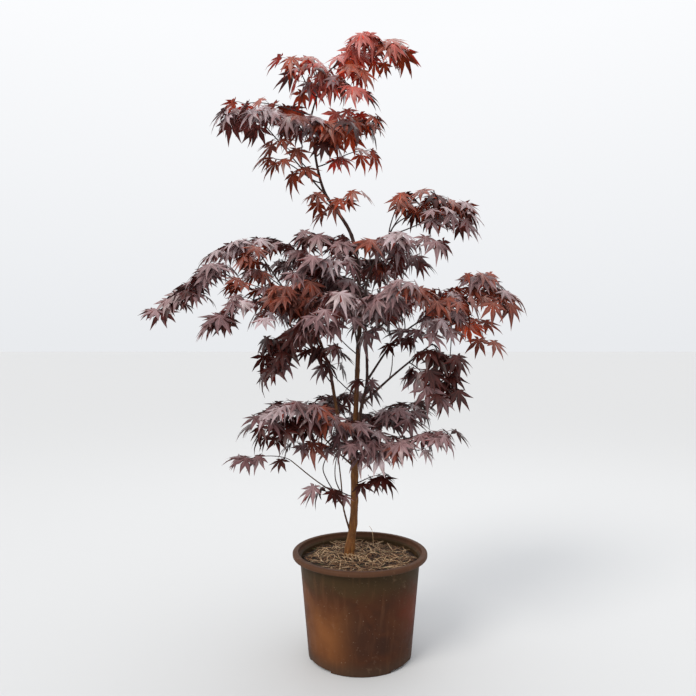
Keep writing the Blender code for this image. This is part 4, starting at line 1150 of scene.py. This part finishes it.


# Tints of leaf: the upper side and the underside, each as two colours that it strays between and its
# midribs', and the sheen of the upper side. The pale lilac and mauve upper sides are partly painted
# reflection of the bright sky, and the bright scarlet and ember undersides are partly painted light
# shining through the leaf.
TINTS = {
    "scarlet": (("#a24c44", "#8c382c", "#cc7468"), ("#d8402e", "#9c3020", "#7a241c"), 0.45),
    "ember": (("#924230", "#6c3020", "#b46a54"), ("#c84c28", "#8c3218", "#6c2418"), 0.45),
    "rust": (("#7e3c2c", "#54261c", "#a06454"), ("#963c1e", "#5e2616", "#4c1c16"), 0.42),
    "lilac": (("#b09ca0", "#86706f", "#ccb4b8"), ("#7c342e", "#52241e", "#a05850"), 0.60),
    "mauve": (("#88686a", "#604646", "#b08e8e"), ("#6a2c28", "#42201a", "#8a4c48"), 0.60),
    "plum": (("#6c4c4e", "#4c3434", "#946c6c"), ("#4c201a", "#301612", "#6c3a34"), 0.45),
    "maroon": (("#421b17", "#2a110e", "#562822"), ("#48140e", "#30100a", "#5c241c"), 0.30),
}


def make_wood(limbs, sprays, grown):
    rng = random.Random(WOOD_SEED)
    old = maple_bark("tan_maple_bark", ("#523216", "#744822"), ("#2a1c18", "#482c24"), "#966a34",
                     (0.60, 0.98), 0.0006)
    young = maple_bark("plum_maple_bark", ("#3a261c", "#573a28"), ("#281b19", "#402a24"), "#6e5232",
                       (0.55, 0.80), 0.0004)
    shoot = maple_bark("maroon_shoot_bark", ("#38221f", "#4a2e28"), ("#2a1a1c", "#3e2628"), "#5a4036",
                       (0.30, 0.70), 0.0002)
    thick = {}
    for name, (line, radii) in limbs.items():
        carrier = LIMBS.get(name)
        girth = at_height(limbs[carrier[0]], carrier[1])[2] if carrier else 0.0
        thick[name] = (line, swollen(line, radii, girth, rng))
    boughs = [name for name in limbs if name not in OLD_WOOD]
    twigs = [tapered(*wood) for spray in sprays.values() for wood in spray.wood]
    twigs += [tapered(smooth_line(points, 0.01), *SHOOT_RADII) for points in SHOOTS]
    stalks = [tapered(line, *STALK_RADII) for spray in sprays.values() for line in spray.stalks]
    old_lines = [thick[limb] for limb in OLD_WOOD]
    young_lines = [thick[limb] for limb in boughs]
    # Each piece: its lines, sides, ring step, relief, grain size, bark, slot and the nodes it replaces.
    for name, lines, sides, step, relief, grain, bark, slot, nodes in (
            ("trunk_bark", old_lines, 24, 0.003, 0.20, 0.007, old, "bark", OLD_WOOD),
            ("bough_bark", young_lines, 12, 0.003, 0.30, 0.006, young, "young_bark", boughs),
            ("twigs", twigs, 6, 0.006, 0.30, 0.005, shoot, "young_bark", ()),
            ("leaf_stalks", stalks, 4, 0.008, 0.0, 0.005, stalk_skin(), "foliage_purple", ())):
        piece = baked(name, chains(name, lines), grown, {
            "Sides": sides, "Ring step": step, "Relief": relief, "Grain size": grain, "Bark": bark})
        kept(piece, slot, nodes)


def make_leaves(sprays):
    rng = random.Random(BLADE_SEED)
    blades = shape_collection("blades", [
        leaf_blade(f"blade_{k}", droop=rng.uniform(0.06, 0.38), curl=rng.uniform(0.0, 0.22),
                   spread=rng.uniform(0.88, 1.06), rng=rng)
        for k in range(LEAF_SHAPES)])
    dressed = leaves_tree()
    for number, (tint, (upper, under, sheen)) in enumerate(TINTS.items()):
        leaves = [leaf for spray in sprays.values() for leaf in spray.leaves if leaf.tint == tint]
        guide = guide_mesh(
            tint, [leaf.base for leaf in leaves], turn=("QUATERNION", [leaf.turn for leaf in leaves]),
            size=("FLOAT", [leaf.size for leaf in leaves]), kind=("INT", [leaf.kind for leaf in leaves]))
        piece = baked(f"{tint}_leaves", guide, dressed, {
            "Blades": blades, "Leaf length": LEAF_LENGTH, "Size spread": 0.08, "Seed": number,
            "Upper side": leaf_side(f"{tint}_leaf_upper_side", *upper, UPPER_ROUGHNESS, sheen),
            "Underside": leaf_side(f"{tint}_leaf_underside", *under, UNDER_ROUGHNESS, sheen / 3)})
        slot = "foliage_scarlet" if tint in ("scarlet", "ember") else "foliage_purple"
        kept(piece, slot, [name for name, row in MASSES.items() if Mass(*row).tint == tint])
    drop_collection(blades)


def make_mulch(grown):
    rng = random.Random(STRAW_SEED)
    bed = make_mulch_bed()
    shreds = shape_collection("shreds", [
        shred_shape(f"shred_{k}", bend=rng.uniform(-0.10, 0.10), twist=rng.uniform(-0.04, 0.07),
                    width=rng.uniform(0.016, 0.034), rng=rng)
        for k in range(SHRED_SHAPES)])
    strewn = shreds_tree()
    for number, (name, colours, density, length, lift, inset) in enumerate(SHREDS):
        top = bed.data.copy()
        shape = bmesh.new()
        shape.from_mesh(top)
        # Each kind stops its inset short of the wall; only the dark shreds reach close, a painted shade by
        # the wall.
        bmesh.ops.delete(shape, context="FACES", geom=[
            face for face in shape.faces
            if face.normal.z < 0.4 or face.calc_center_median().xy.length > MULCH_EDGE - inset])
        shape.to_mesh(top)
        shape.free()
        piece = baked(name, new_piece("top", top), strewn, {
            "Shreds": shreds, "Density": density, "Shred length": length, "Length spread": 0.012,
            "Tip up": 0.22, "Lift": lift, "Seed": number,
            "Finish": dry_fibre(name.replace("shreds", "dry_fibre"), *colours)})
        for vert in piece.data.vertices:
            away = vert.co.xy.length
            if away > MULCH_EDGE - 0.001:
                vert.co.xy *= (MULCH_EDGE - 0.001) / away
        kept(piece, "mulch")
    drop_collection(shreds)
    strands = []
    for _ in range(STRANDS):
        bearing = rng.uniform(0, math.tau)
        away = MULCH_EDGE * rng.uniform(0.15, 0.72)
        span = rng.uniform(0.030, 0.055)
        middle = Vector((away * math.cos(bearing), away * math.sin(bearing), 0.0))
        lie = Matrix.Rotation(rng.uniform(0, math.tau), 3, "Z") @ Vector((span / 2, 0.0, 0.0))
        bow = lie.cross(UP) * rng.uniform(-0.5, 0.5)
        points = [middle - lie, middle - lie * 0.4 + bow, middle + lie * 0.4 + bow, middle + lie]
        lifts = (0.003, rng.uniform(0.008, 0.013), rng.uniform(0.008, 0.013), 0.004)
        for point, lift in zip(points, lifts):
            point.z = mound_height(point.x, point.y) + lift
        strands.append(points)
    strands.append(STANDING_STRAND)
    strands = [tapered(smooth_line(points, 0.004), *STRAND_RADII) for points in strands]
    kept(baked("straw_strands", chains("strands", strands), grown, {
        "Sides": 5, "Ring step": 0.004, "Relief": 0.4, "Grain size": 0.003,
        "Bark": dry_fibre("pale_straw_stalk", "#8a6848", "#b4936c", "#dcc4a0")}), "mulch")
    bed.data.materials.append(dry_fibre("dark_humus", "#150e09", "#241810", "#3a2818"))
    kept(bed, "mulch", ["mulch"])


def make_stage():
    """The floor, the pale world behind it, a low sun that models the leaves, and a wide soft sky."""
    mesh = bpy.data.meshes.new("floor")
    mesh.from_pydata([(x * FLOOR_REACH, y * FLOOR_REACH, 0.0) for x, y in (
        (-1, -1), (1, -1), (1, 1), (-1, 1))], [], [(0, 1, 2, 3)])
    mesh.materials.append(painted_floor())
    new_piece("floor", mesh)
    world = bpy.data.worlds.new("studio")
    world.use_nodes = True
    tree = world.node_tree
    way = add(tree, "ShaderNodeTexCoord", out="Generated")
    height = add(tree, "ShaderNodeSeparateXYZ", {"Vector": way}, out="Z")
    glow = add(tree, "ShaderNodeValToRGB", {"Fac": height}, stops=[(0.0, "#e9ebee"), (0.42, "#fbfcfe")])
    fill(tree, tree.nodes["Background"], {"Color": glow})
    bpy.context.scene.world = world
    bpy.context.scene.view_settings.view_transform = "Standard"
    for name, kind, place, spread, power, colour in LIGHTS:
        light = bpy.data.lights.new(name, kind)
        light.energy, light.color = power, colour
        setattr(light, "angle" if kind == "SUN" else "size", spread)
        lamp = bpy.data.objects.new(name, light)
        lamp.location = place
        lamp.rotation_euler = (LIGHT_AIM - Vector(place)).to_track_quat("-Z", "Y").to_euler()
        bpy.context.scene.collection.objects.link(lamp)


def make_camera():
    data = bpy.data.cameras.new("camera")
    data.lens = CAMERA_LENS
    data.sensor_width = 36.0
    camera = bpy.data.objects.new("camera", data)
    camera.location = CAMERA_PLACE
    camera.rotation_euler = (math.radians(90.0 - CAMERA_DIP), 0.0, 0.0)
    bpy.context.scene.collection.objects.link(camera)
    bpy.context.scene.camera = camera


def main():
    make_camera()
    make_stage()
    limbs = plan_limbs()
    limb_points = [line[::2] for line, _ in limbs.values()]
    sprays = {name: grow_mass(name, Mass(*row), limbs, limb_points)
              for name, row in {**MASSES, **FILL_SPRAYS}.items()}
    grown = wood_tree()
    make_wood(limbs, sprays, grown)
    make_leaves(sprays)
    make_pot()
    make_mulch(grown)


main()
